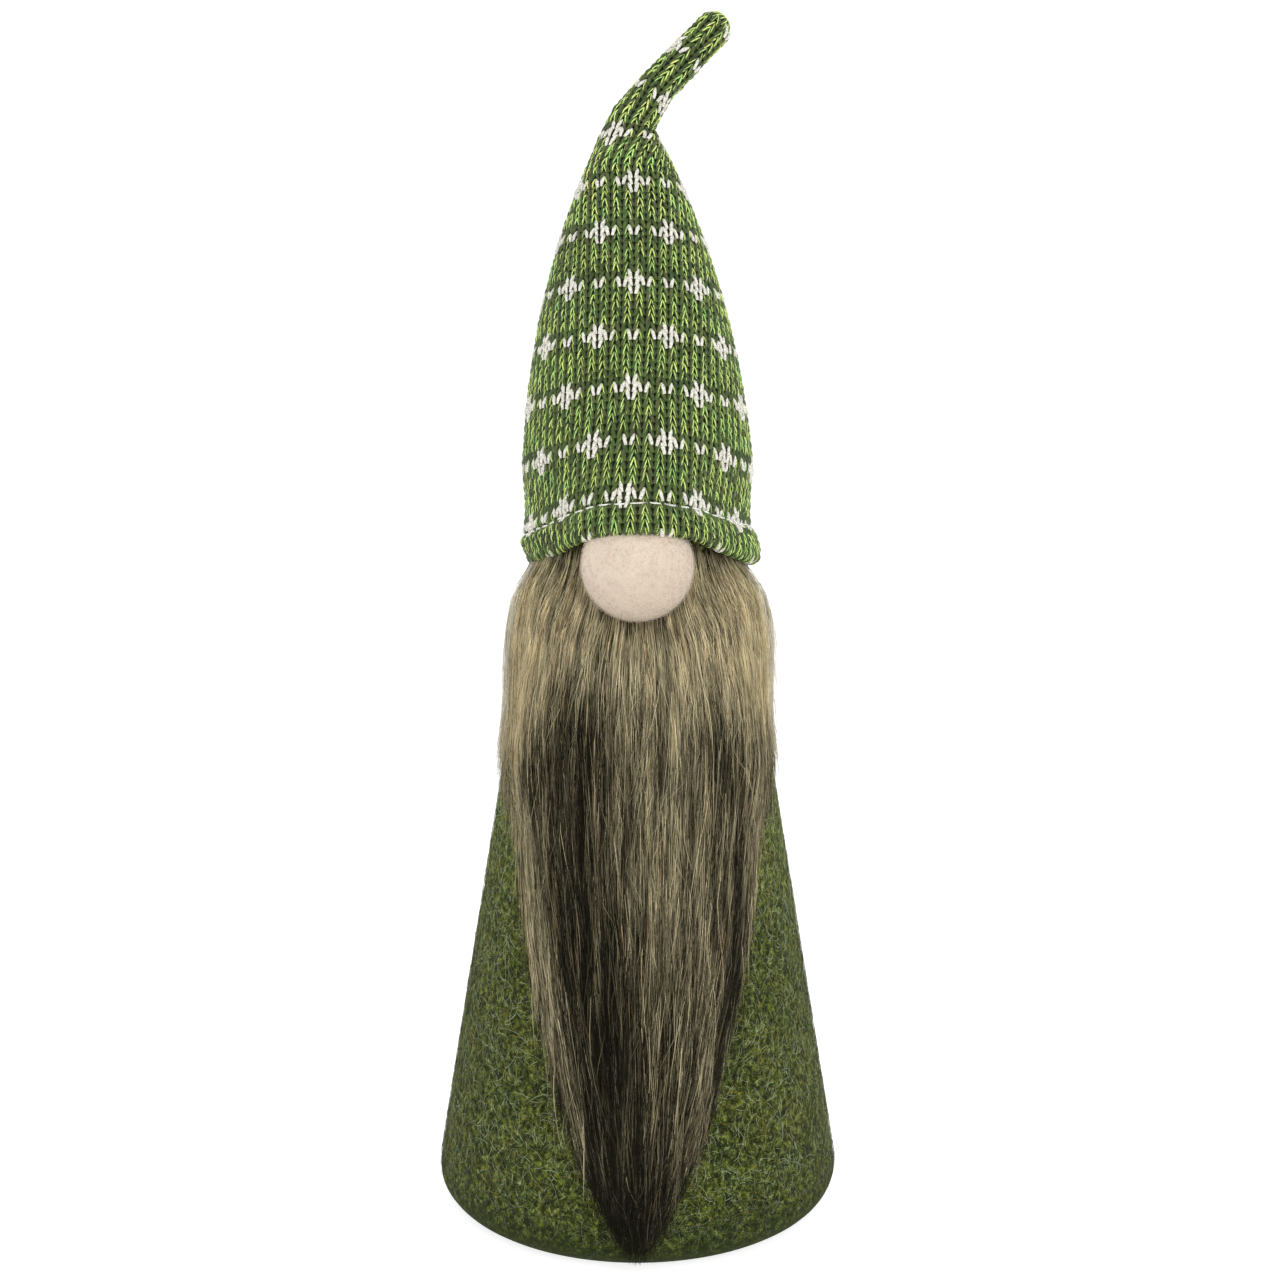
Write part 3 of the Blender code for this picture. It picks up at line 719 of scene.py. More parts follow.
def ground_dye(rng, count, height):
    """Heathered ground: dark green, olive and grey-brown by the leg, in slow stripes."""
    weights = rng.dirichlet((1.6, 1.4, 0.9, 1.0), count)
    stripe = 0.88 + 0.16 * np.sin(height * 410.0)
    return (weights @ GROUND_DYES) * (rng.uniform(0.75, 1.25, count) * stripe)[:, None]


def bright_dye(rng, count, height, wale):
    """The fine bright strand: lime, drifting to a cooler green."""
    cool = smooth(0.26 + 0.20 * np.sin(height * 160.0 + 0.55 * wale) + rng.normal(0.0, 0.25, count))
    return mix(LIME, COOL_GREEN, cool[:, None]) * rng.uniform(0.75, 1.15, count)[:, None]


def swell(t, least, start, reach, power=1.0):
    """Thickness along a leg of yarn as a share: 1 at its fullest, and least where it ends."""
    return least + (1.0 - least) * np.sin(math.pi * (start + reach * t)) ** power


def stitch_legs(name, wale, course, material):
    """The two legs of each stitch, and the bright strand that runs along most legs' outer side."""
    rng = np.random.default_rng(11 + len(name) + abs(int(course.sum())))
    wale = np.repeat(wale, 2)
    course = np.repeat(course, 2)
    hand = np.tile((-1.0, 1.0), len(wale) // 2)
    row, column = motif(wale.astype(int), course.astype(int))
    white = ((row == 0) & np.isin(column, (-1, 0, 1, 3))) | ((np.abs(row) == 1) & (column == 0))
    white |= (course == 0) & (column == 0)
    count = len(wale)
    t = np.linspace(0.0, 1.0, 8)[None]
    lean = rng.normal(0.0, 0.018, (count, 1))
    foot, splay = np.where(white, 0.17, 0.09)[:, None], np.where(white, 0.25, 0.33)[:, None]
    x = hand[:, None] * (foot + splay * t) + lean
    y = 1.50 * t - 0.10 + rng.normal(0.0, 0.05, (count, 1))
    out = 0.0008 - 0.0010 * t + 0.0004 * np.sin(math.pi * t) + rng.normal(0.0, 0.00010, (count, 1))
    out = out + 0.00040 * white[:, None]
    paths, normals = knit(wale[:, None] + x, course[:, None] + y, out)
    scale = wale_pitch(0.34) / WALE_PITCH
    half = np.where(white, 0.00092, 0.00098)[:, None] * swell(t, 0.35, 0.10, 0.84, 0.6)
    half = half * rng.uniform(0.92, 1.08, (count, 1)) * scale
    height = paths[:, 0, 2]
    dye = ground_dye(rng, count, height)
    pale = WHITE_YARN * rng.uniform(0.93, 1.04, (count, 1))
    white &= height < spine(np.array([TAIL_END_S - 0.010]))[0][0][2]
    dye = np.where(white[:, None], pale, dye)
    legs = strands(name, paths, normals, half, half * 0.75, dye, material, 8, 1.6)

    shown = ~white & ~((row == 1) & (rng.random(count) < 0.85))
    wale, course, hand, lean = wale[shown], course[shown], hand[shown], lean[shown]
    dim = np.where(row[shown] == -1, 0.72, 1.0) * np.where(row[shown] == 1, 0.8, 1.0)
    count = len(wale)
    t = np.linspace(0.0, 1.0, 6)[None]
    x = hand[:, None] * (0.23 + 0.25 * t) + lean + rng.normal(0.0, 0.02, (count, 1))
    y = 1.42 * t - 0.08 + rng.normal(0.0, 0.07, (count, 1))
    out = 0.0010 - 0.0008 * t + 0.0006 * np.sin(math.pi * t) + rng.normal(0.0, 0.00014, (count, 1))
    paths, normals = knit(wale[:, None] + x, course[:, None] + y, out)
    height = paths[:, 0, 2]
    higher = smooth((height - 0.404) / 0.030)
    half = 0.00025 * swell(t, 0.35, 0.06, 0.88, 0.5) * rng.uniform(0.75, 1.30, (count, 1))
    half = half * (dim * (1.0 + 0.14 * higher))[:, None]
    dye = bright_dye(rng, count, height, wale) * (dim * (1.0 + 0.20 * higher))[:, None]
    dye = np.minimum(dye, 0.95)
    glints = strands(name + "_bright", paths, normals, half, half, dye, material, 5)
    return [legs, glints]


def last_round(yarn):
    """The last stitches, drawn together over the rounded end of the tail."""
    rng = np.random.default_rng(5)
    count = 15
    t = np.linspace(0.0, 1.0, 9)[None]
    turn = full_turn(count)[:, None]
    s = TAIL_END_S - 0.0046 * (1.0 - t) ** 2 * rng.uniform(0.9, 1.1, (count, 1)) - 0.00004
    out = -0.0005 + 0.0006 * np.sin(math.pi * (0.15 + 0.6 * t)) + 0.0 * turn
    paths, normals, _ = hat_surface(turn + 0.5 * t, s, out)
    half = 0.00105 * swell(t, 0.45, 0.12, 0.70) * rng.uniform(0.9, 1.1, (count, 1))
    dye = ground_dye(rng, count, paths[:, 0, 2])
    legs = strands("tail_stitches_close", paths, normals, half, half * 0.75, dye, yarn, 8, 1.6)
    paths, normals, _ = hat_surface(turn + 0.5 * t + 0.10, s, out + 0.0007)
    half = 0.00026 * swell(t, 0.4, 0.1, 0.7) * np.ones((count, 1))
    dye = bright_dye(rng, count, paths[:, 0, 2], turn[:, 0])
    return [legs, strands("tail_stitches_close_bright", paths, normals, half, half, dye, yarn, 5)]


def chunks(order, most):
    """The numbers in order, split into even parts of no more than most."""
    return np.array_split(order, max(1, math.ceil(len(order) / most)))


# Where the tail's three pieces begin, and the two bodies and the lengths that each one lies between.
TAIL_CUTS = (HAT_NECK_Z - 0.006, (S_FOOT + S_MIDDLE) / 2.0, (S_MIDDLE + S_TIP) / 2.0, 1.0)
TAIL_BENDS = (
    ("figure", "tail_lower", HAT_NECK_Z, S_FOOT + 0.0075),
    ("tail_lower", "tail_middle", S_MIDDLE - 0.0065, S_MIDDLE + 0.0065),
    ("tail_middle", "tail_tip", S_TIP - 0.0065, S_TIP + 0.0065),
)


def bend_tail(piece, index):
    """Bakes a piece of the tail's transform into its mesh; the bodies and lengths it lies between are
    looked up but not used.
    """
    body, following, low, high = TAIL_BENDS[index]
    ends = [spine(np.array([s]))[0][0] for s in (low, high)]
    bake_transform(piece)


def make_knit(yarn):
    """All stitches of cap and tail, in pieces: the cap's ride with the figure, and the tail's are baked in
    place.
    """
    wale, course, front = all_stitches()
    hat = front < TAIL_CUTS[0]
    hat_pieces, tail_pieces = [], []
    order = np.lexsort((wale, course))
    order = order[hat[order]]
    for number, part in enumerate(chunks(order, STITCHES_IN_PIECE), 1):
        for piece in stitch_legs(f"cap_stitches_{number}", wale[part], course[part], yarn):
            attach(piece, "figure")
            hat_pieces.append(piece)
    for index, name in enumerate(TAIL_NAMES):
        chosen = (front >= TAIL_CUTS[index]) & (front < TAIL_CUTS[index + 1])
        made = stitch_legs(f"tail_stitches_{name}", wale[chosen], course[chosen], yarn)
        made += last_round(yarn) if name == "end" else []
        for piece in made:
            bend_tail(piece, index)
        tail_pieces.append(made)
    return hat_pieces, tail_pieces


def tail_cloth(name, first, last, cloth):
    """The cloth that the tail's stitches stand on, as one thin closed sheet."""
    share = np.linspace(0.0, 1.0, 18)
    if last >= TAIL_END_S:
        share = np.sin(share * math.pi / 2.0)
    s, angle = np.broadcast_arrays(mix(first, last, share)[:, None], full_turn(40)[None])
    outer = hat_surface(angle, s, np.full(s.shape, -CLOTH_DEPTH))[0]
    inner = hat_surface(angle, s, np.full(s.shape, -CLOTH_DEPTH - 0.0012))[0]
    return shell(name, outer, inner, cloth)


def make_cap_cloth(cloth):
    """The cap's cloth: up from inside the hem, over the fold and on to the crown."""
    angle = full_turn(96)
    low = hem_low(angle) + FOLD_LIFT + FOLD_RADIUS
    # Each row's length along the cap, how far it stands out, and how far it faces outwards.
    inside = np.linspace(0.006, 0.0, 4)[:-1]
    profile = [(low + rise, -2.0 * FOLD_RADIUS + CLOTH_DEPTH, -1.0) for rise in inside]
    for phi in np.linspace(-math.pi / 2.0, math.pi / 2.0, 9):
        facing = math.sin(phi)
        out = FOLD_RADIUS * (facing - 1.0) - CLOTH_DEPTH * facing
        profile.append((low - (FOLD_RADIUS - 0.0006) * math.cos(phi), out, facing))
    for share in np.linspace(0.0, 1.0, 48)[1:]:
        profile.append((mix(low, TAIL_CUTS[0], share), -CLOTH_DEPTH, 1.0))
    rows, backs = [], []
    for s, out, facing in profile:
        band = hem_band(angle, hem_top(angle) - s)
        points, outward, along = hat_surface(angle, s, out + band)
        turned = outward * facing - along * math.sqrt(max(0.0, 1.0 - facing**2))
        rows.append(points)
        backs.append(points - unit(turned) * 0.0010)
    return shell("cap_cloth", np.array(rows), np.array(backs), cloth)


def make_cap(yarn, cloth):
    hat_pieces, tail_pieces = make_knit(yarn)
    cap = make_cap_cloth(cloth)
    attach(cap, "figure")
    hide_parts("hat_crown", "hat_hem")
    hat_pieces + [make_hem_stitches(yarn)]
    cuts = TAIL_CUTS[:3] + (TAIL_END_S,)
    for index, name in enumerate(TAIL_NAMES):
        sleeve = tail_cloth(f"tail_cloth_{name}", cuts[index], cuts[index + 1], cloth)
        bend_tail(sleeve, index)
        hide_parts("tail_sleeve_" + TAIL_SLEEVES[index])


def make_hem_stitches(yarn):
    """The running stitch that holds the hem: a white thread in and out of the cloth."""
    angle = full_turn(HEM_STITCHES * 8)
    angle = np.concatenate((angle, angle[:1] + 2.0 * math.pi))
    wave = np.cos(angle * HEM_STITCHES)
    s = hem_top(angle) + 0.0002 * np.sin(angle * 17.0)
    out = 0.0005 + 0.00075 * np.clip(wave * 2.0 + 0.4, -1.6, 1.0)
    points, normals, _ = hat_surface(angle, s, out)
    half = np.full((1, len(angle)), 0.00040)
    dye = np.array([(0.86, 0.86, 0.83)])
    piece = strands("hem_running_stitch", points[None], normals[None], half, half * 0.8, dye, yarn, 6)
    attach(piece, "figure")
    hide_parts("hem_thread")
    return piece


# ---------------------------------------------------------------- the beard

def beard_top(angle):
    """Where the pile starts, just inside the hem."""
    return np.minimum(hem_low(angle) + 0.0060, 0.288)


def hair_edge(z):
    """Angle of the beard's outline for its pile: even to the tip, and opening out round the sides."""
    share = np.clip((z - BEARD_TIP_Z - 0.001) / 0.139, 0.0, 2.0)
    low = math.radians(42.0) * share**0.8 * (1.0 - 0.18 * smooth((0.135 - z) / 0.12))
    full = 0.036 * np.exp(-(((z - 0.062) / 0.022) ** 2))
    return low + full + math.radians(30.0) * smooth((z - 0.168) / 0.050) + 0.022


def hang_edge(z):
    """Angle of a strand that hangs from the widest part of the beard."""
    return math.radians(14.0) + math.radians(78.0) * np.clip((z - 0.011) / 0.246, 0.0, 1.0)


def pile_height(z, angle):
    """How far the pile stands off its backing."""
    top = 0.06 + 0.94 * smooth((beard_top(angle) - z) / 0.022) ** 0.8
    side = np.abs(np.sin(angle))
    low = mix(1.0, 0.06 + 0.74 * smooth((z - 0.200) / 0.056), smooth((side - 0.70) / 0.24))
    low = low * (1.0 + 0.14 * np.sin(angle))
    near_edge = smooth((np.abs(angle) / hair_edge(z) - 0.6) / 0.4)
    edge = 1.0 - 0.6 * near_edge * smooth((0.215 - z) / 0.03)
    tip = 0.35 + 0.65 * smooth((z - 0.012) / 0.07)
    x, rise = body_radius(z) * np.sin(angle), z - NOSE_CENTRE[2]
    clear = np.sqrt(x**2 + rise**2) - NOSE_RADIUS
    nose = 0.10 + 0.90 * smooth((clear + 0.002) / 0.018)
    return BEARD_PILE * top * low * edge * tip * nose


def streaks(rng, terms, lowest, highest):
    """A smooth random function of one number, as sums of waves."""
    waves = rng.uniform(lowest, highest, terms)
    phases = rng.uniform(0.0, 2.0 * math.pi, terms)
    sizes = rng.uniform(0.5, 1.0, terms) / math.sqrt(terms / 2.0)
    terms = list(zip(sizes, waves, phases))
    return lambda x: sum(size * np.sin(wave * x + phase) for size, wave, phase in terms)


def hill(x, centre, width):
    """A bump of height 1."""
    return np.exp(-(((x - centre) / width) ** 2))


def hair_dye_and_painted_light(rng, angle, z, drift, fine):
    """Colour of the pile: khaki under the cap, dark brown in streaks further down, with painted shadow
    under the hem and the nose, and painted light on the sides.
    """
    x = angle * body_radius(z) / BEARD_HALF_WIDTH
    across = angle / hair_edge(np.minimum(z, 0.185))
    low = smooth((0.235 + 0.018 * smooth(2.0 * x) - z + 0.016 * drift(x * 3.0)) / 0.050)
    left = 0.44 * (1.0 - 0.85 * smooth((0.135 - z) / 0.06))
    shade = low * (0.51 + left * hill(across, -0.50, 0.24) - 0.04 * hill(across, 0.75, 0.25))
    rim = 0.36 * smooth((-0.72 - across) / 0.10) * smooth((z - 0.045) / 0.05)
    shade -= low * (rim + 0.10 * smooth((across - 0.90) / 0.08))
    shade += 0.16 * drift(x * 9.0 + z * 9.0) * low + 0.12 * fine(x * 70.0 + z * 16.0)
    shade += 0.10 * fine(x * 31.0 - z * 55.0)
    shade += 0.45 * smooth((0.170 - z) / 0.110) + 0.42 * smooth((0.055 - z) / 0.040)
    # Painted shadow: the pile is darker just under the cap's hem, and in the middle under the nose.
    under = smooth((z - beard_top(angle) + 0.018) / 0.012)
    shade += 0.34 * under + 0.26 * hill(x, 0.0, 0.42) * smooth((z - 0.235) / 0.025)
    # Painted light: the upper pile is lighter towards its sides, and more so on the right.
    shade -= (0.40 * smooth((np.abs(x) - 0.40) / 0.5) + 0.17 * smooth(4.0 * x)) * (1.0 - low)
    # Painted rim light: the pile is lighter round its far sides.
    shade -= 0.42 * smooth((np.abs(angle) - 1.10) / 0.3) * (1.0 - 0.7 * low)
    shade += 0.04 + rng.normal(0.0, 0.40, (len(z), 1))
    waves, phases = rng.uniform(150.0, 420.0, (len(z), 1)), rng.uniform(0.0, 6.3, (len(z), 1))
    shade += 0.22 * np.sin(z * waves + phases)
    shade = np.clip(shade, -0.50, 1.1)[..., None]
    flat = np.clip(shade, 0.0, 1.0)
    even = HAIR_LIGHT * (1.0 - flat) + HAIR_DARK * flat
    colour = 0.6 * HAIR_LIGHT ** (1.0 - flat) * HAIR_DARK**flat + 0.4 * even
    colour = colour * (1.0 - 0.6 * np.minimum(shade, 0.0))
    kind = rng.random(shade.shape[0])[:, None, None]
    tint = np.where(kind < 0.05, (0.86, 1.0, 0.92), (1.0, 1.0, 1.0))
    colour = colour * np.where(kind > 0.95, (1.18, 0.92, 0.70), tint)
    # Painted rim light: the far sides are mixed towards a pale colour.
    painted_rim_light = 0.80 * smooth((np.abs(angle) - 1.10) / 0.20) * (1.0 - 0.75 * low)
    colour = mix(colour, HAIR_PAINTED_RIM_LIGHT, painted_rim_light[..., None])
    return np.clip(colour, 0.002, 0.85)


EDGE_Z = np.linspace(0.240, BEARD_TIP_Z, 90)
HANG_SHARE = hang_edge(EDGE_Z) / hair_edge(EDGE_Z)


def lowest_reach(across, z_root):
    """Height at which a strand that starts at this share of the beard's width meets its outline."""
    out = (np.abs(across)[:, None] * HANG_SHARE[None] > 1.0) & (EDGE_Z[None] < z_root[:, None])
    first = np.argmax(out, axis=1)
    return np.where(out.any(axis=1), EDGE_Z[first], BEARD_TIP_Z)


def hair_paths(rng, angle_root, z_root, length):
    """Paths of strands that leave the backing and lie down the fall of the beard, draw in towards
    its tip and end where they meet its outline. loose strands stand further off."""
    count = len(angle_root)
    t = np.linspace(0.0, 1.0, 8)[None]
    across_root = angle_root / hang_edge(z_root)
    lowest = lowest_reach(across_root, z_root)
    lowest = lowest - (0.014 + 0.014 * smooth((0.150 - lowest) / 0.03)) * rng.random(count) ** 1.8
    lowest = np.maximum(lowest, BEARD_TIP_Z - 0.0042 + np.abs(rng.normal(0.0, 0.009, count)))
    end = np.maximum(z_root - length, np.minimum(lowest, z_root - 0.008))
    z = mix(z_root[:, None], end[:, None], t)
    gather = 0.35 * smooth(t) * rng.uniform(0.0, 1.0, (count, 1))
    lock = np.round(across_root * HAIR_LOCKS + rng.normal(0.0, 0.4, count)) / HAIR_LOCKS
    spread = mix(across_root[:, None], lock[:, None], gather)
    fan_root = 1.0 - 0.30 * (1.0 - across_root[:, None] ** 2) * smooth((z_root[:, None] - 0.200) / 0.075)
    fan = 1.0 - 0.30 * np.clip(1.0 - spread**2, 0.0, 1.0) * smooth((z - 0.200) / 0.075)
    angle = spread * hang_edge(z) * fan / fan_root
    past = (0.05 + 0.20 * smooth((0.150 - z) / 0.04)) * rng.random((count, 1)) ** 1.5
    edge = hair_edge(z) * (1.0 + past)
    angle = np.clip(angle, -edge, edge)
    loose = rng.random((count, 1)) < np.where(np.abs(angle_root) > 1.05, 0.42, 0.06)[:, None]
    sway = rng.normal(0.0, 0.0010, (count, 1))
    waves, phases = rng.uniform(0.5, 1.8, (count, 1)), rng.uniform(0, 6.3, (count, 1))
    sway = sway * np.sin(math.pi * t * waves + phases)
    drift = rng.normal(0.0, 0.0020, (count, 1)) * t
    angle = angle + (sway * smooth(2.0 * t) + drift) * np.where(loose, 2.4, 1.0) / body_radius(z)
    layer = rng.random(count)[:, None] ** 0.55 * np.where(loose, 1.0 + 0.30 * t, 1.0)
    height = pile_height(z, angle) * layer * smooth(0.12 + 3.2 * t)
    height = height * (1.0 - 0.10 * t * rng.random((count, 1)))
    height = height + np.where(loose, np.abs(rng.normal(0.0, 0.0015, (count, 1))) * t**1.5, 0.0)
    lift = BACKING_STAND_OFF + BACKING_THICKNESS - 0.0003
    points = around(angle, body_radius(z) + lift + height, z)
    return points, body_normals(angle), angle, z


def make_hair(name, rng, angle_root, z_root, length, hair, waves):
    points, normals, angle, z = hair_paths(rng, angle_root, z_root, length)
    # The strands' colours carry painted shadow under the hem and the nose, and painted light on the sides.
    dye = hair_dye_and_painted_light(rng, angle, z, *waves)
    t = np.linspace(0.0, 1.0, points.shape[1])[None]
    half = HAIR_HALF_WIDTH * (1.0 - 0.72 * t**1.5) * rng.uniform(0.7, 1.35, (len(points), 1))
    piece = strands(name, points, normals, half, half, dye, hair, 3)
    return piece


def beard_roots(rng, count):
    """Roots spread evenly over the backing, but for the part that the nose covers."""
    z = rng.uniform(BEARD_TIP_Z + 0.004, 0.287, count * 3)
    angle = rng.uniform(-BEARD_WRAP, BEARD_WRAP, count * 3)
    kept = (np.abs(angle) < np.minimum(hair_edge(z), BEARD_WRAP)) & (z < beard_top(angle))
    kept &= ~((np.abs(angle) > SWING_WRAP) & (z < 0.204))
    from_nose = (body_radius(z) * np.sin(angle)) ** 2 + (z - NOSE_CENTRE[2]) ** 2
    kept &= ~((from_nose < (NOSE_RADIUS - 0.006) ** 2) & (np.cos(angle) > 0.0))
    return angle[kept][:count], z[kept][:count]


def make_beard(hair, backing):
    rng = np.random.default_rng(7)
    waves = (streaks(rng, 7, 0.6, 2.0), streaks(rng, 9, 0.5, 2.2))
    angle, z = beard_roots(rng, HAIR_COUNT)
    reach = rng.uniform(0.030, 0.072, len(z)) * mix(0.55, 1.0, smooth((z - 0.02) / 0.06))
    fixed = np.abs(angle) > SWING_WRAP - 0.06
    reach = np.where(fixed, reach * 1.15, reach)
    for number, part in enumerate(chunks(np.flatnonzero(~fixed), HAIRS_IN_PIECE), 1):
        piece = make_hair(f"beard_hair_{number}", rng, angle[part], z[part], reach[part], hair, waves)
        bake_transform(piece)
    side_piece = make_hair("beard_hair_sides", rng, angle[fixed], z[fixed], reach[fixed], hair, waves)
    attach(side_piece, "figure")
    make_backing(backing)


def beard_split(angle):
    return BEARD_SPLIT_Z - BEARD_SPLIT_DROP * (angle / SWING_WRAP) ** 2


def make_backing(backing):
    """The two backing cloths: a collar sewn under the cap, and the hanging beard."""
    across = np.linspace(-1.0, 1.0, 40)

    def sheet_rows(low, high, spread, rows):
        outer, inner = [], []
        for share in np.linspace(0.0, 1.0, rows):
            z = mix(low, high, share)
            angle = across * spread(z)
            outer.append(around(angle, body_radius(z) + BACKING_STAND_OFF + BACKING_THICKNESS, z))
            inner.append(around(angle, body_radius(z) + BACKING_STAND_OFF, z))
        return np.array(outer), np.array(inner)

    collar_angle = across * BEARD_WRAP
    near = np.minimum(np.abs(collar_angle), SWING_WRAP)
    flat_low = beard_split(near) + 0.0006
    rise = smooth((np.abs(collar_angle) - SWING_WRAP) / (BEARD_WRAP - SWING_WRAP))
    collar_low = mix(flat_low, BEARD_SIDE_Z, rise)
    outer, inner = sheet_rows(collar_low, BEARD_TOP_Z, lambda z: BEARD_WRAP, 14)
    collar = shell("beard_cloth_collar", outer, inner, backing, closed_round=False)
    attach(collar, "figure")
    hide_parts("beard_backing_top", "beard_pile_top")

    def drop_angle(z):
        return np.minimum(SWING_WRAP, 0.86 * hair_edge(z))

    outer, inner = sheet_rows(BEARD_TIP_Z + 0.010, beard_split(across * SWING_WRAP), drop_angle, 60)
    drop = shell("beard_cloth_drop", outer, inner, backing, closed_round=False)
    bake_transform(drop)
    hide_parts("beard_backing_drop", "beard_pile_drop")


# ---------------------------------------------------------------- body and nose

def body_profile():
    """Radius and height down the felt cover's outer face, with its rounded foot."""
    profile = [(body_radius(z), z) for z in np.linspace(BODY_TOP_Z, FOOT_ROUND, 90)]
    foot = body_radius(FOOT_ROUND) - FOOT_ROUND
    for turn in np.linspace(0.0, math.pi / 2.0, 10)[1:]:
        height = FOOT_ROUND * (1.0 - math.sin(turn)) + 0.0001
        profile.append((foot + FOOT_ROUND * math.cos(turn), height))
    return np.array(profile)


def lumps(points, scale, seed):
    """Soft unevenness from a few waves in space."""
    rng = np.random.default_rng(seed)
    total = np.zeros(points.shape[:-1])
    for _ in range(10):
        wave = unit(rng.normal(size=3)) * rng.uniform(0.6, 1.6) * scale
        total = total + np.sin(points @ wave + rng.uniform(0.0, 6.3))
    return total / 10.0


def make_body(felt):
    profile = body_profile()
    angle = full_turn(160)
    outer = np.array([around(angle, radius, z) for radius, z in profile])
    normals = unit(outer * (1.0, 1.0, 0.0) + UP * 0.01)
    wavy = 0.00035 * lumps(outer, 160.0, 3) + 0.00012 * lumps(outer, 900.0, 4)
    fade = np.clip(profile[:, 1] / FOOT_ROUND, 0.0, 1.0)[:, None]
    outer = outer + normals * (wavy * fade)[..., None]
    inner = outer - normals * FELT_THICKNESS
    inner[:, :, 2] = np.maximum(inner[:, :, 2], 0.0022)
    outer, inner = outer[::-1], inner[::-1]
    cover = shell("body_felt_cover", outer, inner, felt)
    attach(cover, "figure")
    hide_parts("body_felt")
    make_felt_fuzz()
    make_base(felt)


def make_base(felt):
    """The felt disc under the figure."""
    low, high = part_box("base_felt")
    radius = (high.x - low.x) / 2.0
    angle = full_turn(96)
    radii = (radius, radius * 0.8, radius * 0.5, radius * 0.2, radius * 0.02)
    under = np.array([around(angle, r, low.z) for r in radii])
    over = np.array([around(angle, r, high.z) for r in radii])
    disc = shell("base_cloth", over, under, felt)
    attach(disc, "figure")
    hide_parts("base_felt")


def short_fibres(name, rng, points, normals, length, lie, half, dye, material, curve):
    """Short loose fibres: each leaves the face at a random heading and curls back to it."""
    count, k = len(points), 4
    other = unit(np.cross(normals, unit(rng.normal(size=(count, 3)))))
    curl = unit(np.cross(normals, other))
    t = np.linspace(0.0, 1.0, k)[None, :, None]
    bend = rng.normal(0.0, curve, (count, 1, 1))
    along = other[:, None] * t + curl[:, None] * bend * t**2
    lifted = normals[:, None] * (lie[:, None, None] * np.sin(math.pi * (0.10 + 0.75 * t)))
    paths = points[:, None] + along * length[:, None, None] + lifted
    widths = half[:, None] * (1.0 - 0.6 * t[:, :, 0])
    fixed = np.repeat(normals[:, None], k, axis=1)
    return strands(name, paths, fixed, widths, widths, dye, material, 3)


def make_felt_fuzz():
    """Loose fibres all over the felt, paler and darker than it."""
    rng = np.random.default_rng(21)
    count = FELT_FIBRE_COUNT
    z = BODY_FOOT_RADIUS / BODY_TAPER * (1.0 - np.sqrt(1.0 - rng.random(count) * 0.80))
    z = np.clip(z, 0.0, 0.284) + 0.014
    angle = rng.uniform(-math.pi, math.pi, count)
    inset = np.maximum(FOOT_ROUND - z, 0.0)
    radius = body_radius(z) - (FOOT_ROUND - np.sqrt(np.maximum(FOOT_ROUND**2 - inset**2, 0.0)))
    points = around(angle, radius + 0.0001, z)
    normals = body_normals(angle)
    dye = FELT_FIBRE_DYES[rng.choice(4, count, p=FELT_FIBRE_SHARES)] * rng.uniform(0.7, 1.3, (count, 1))
    stops = [(0.3, (0.7, 0.7, 0.7)), (0.7, (1.25, 1.25, 1.2))]
    fibre, shade = fibre_material("felt_fibre", 700.0, 0.2, stops)
    fibre.dyed(shade)
    # Painted shade and light: the fibres' colours are darkened towards the foot and lightened on the upper
    # body, as on the felt.
    depth = mix(0.30, 1.0, smooth((z - 0.012) / 0.020)) + 0.4 * smooth((z - 0.100) / 0.090)
    dye = dye * depth[:, None]
    length = rng.uniform(0.0018, 0.0060, count)
    lie = rng.uniform(0.0001, 0.0005, count)
    half = rng.uniform(0.00006, 0.00012, count)
    pieces = []
    made = (points, normals, length, lie, half, dye)
    for number, part in enumerate(chunks(np.arange(count), FELT_FIBRES_IN_PIECE), 1):
        share = [values[part] for values in made]
        piece = short_fibres(f"felt_fibres_{number}", rng, *share, fibre.material, 0.9)
        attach(piece, "figure")
        pieces.append(piece)
    return pieces


def nose_grid(rows, columns):
    """Points and outward directions over the stuffed nose, pole at its back."""
    turn = np.linspace(0.02, math.pi - 0.02, rows)[:, None]
    angle = np.linspace(0.0, 2.0 * math.pi, columns, endpoint=False)[None]
    ring = np.sin(turn)
    level = np.cos(turn) + 0.0 * angle
    direction = np.stack((ring * np.cos(angle), level, ring * np.sin(angle)), axis=-1)
    return NOSE_CENTRE + direction * NOSE_SIZE, unit(direction / NOSE_SIZE)


def make_nose(fleece):
    points, outward = nose_grid(90, 128)
    gather = np.clip((points[..., 1] - NOSE_CENTRE[1]) / NOSE_DEPTH, 0.0, 1.0)
    angle = np.arctan2(points[..., 2] - NOSE_CENTRE[2], points[..., 0])
    pleats = 0.0006 * np.sin(angle * 13.0) * gather**3
    offset = 0.00014 * lumps(points, 200.0, 8) + 0.00007 * lumps(points, 2200.0, 9) + pleats
    points = points + outward * offset[..., None]
    grid, sides = ring_faces(*points.shape[:2])
    caps = np.stack((grid[0], grid[-1][::-1]))
    nose = mesh_object("nose_fleece", points.reshape(-1, 3), [sides, caps], fleece)
    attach(nose, "figure")
    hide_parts("nose_cover")
    make_nose_fuzz()


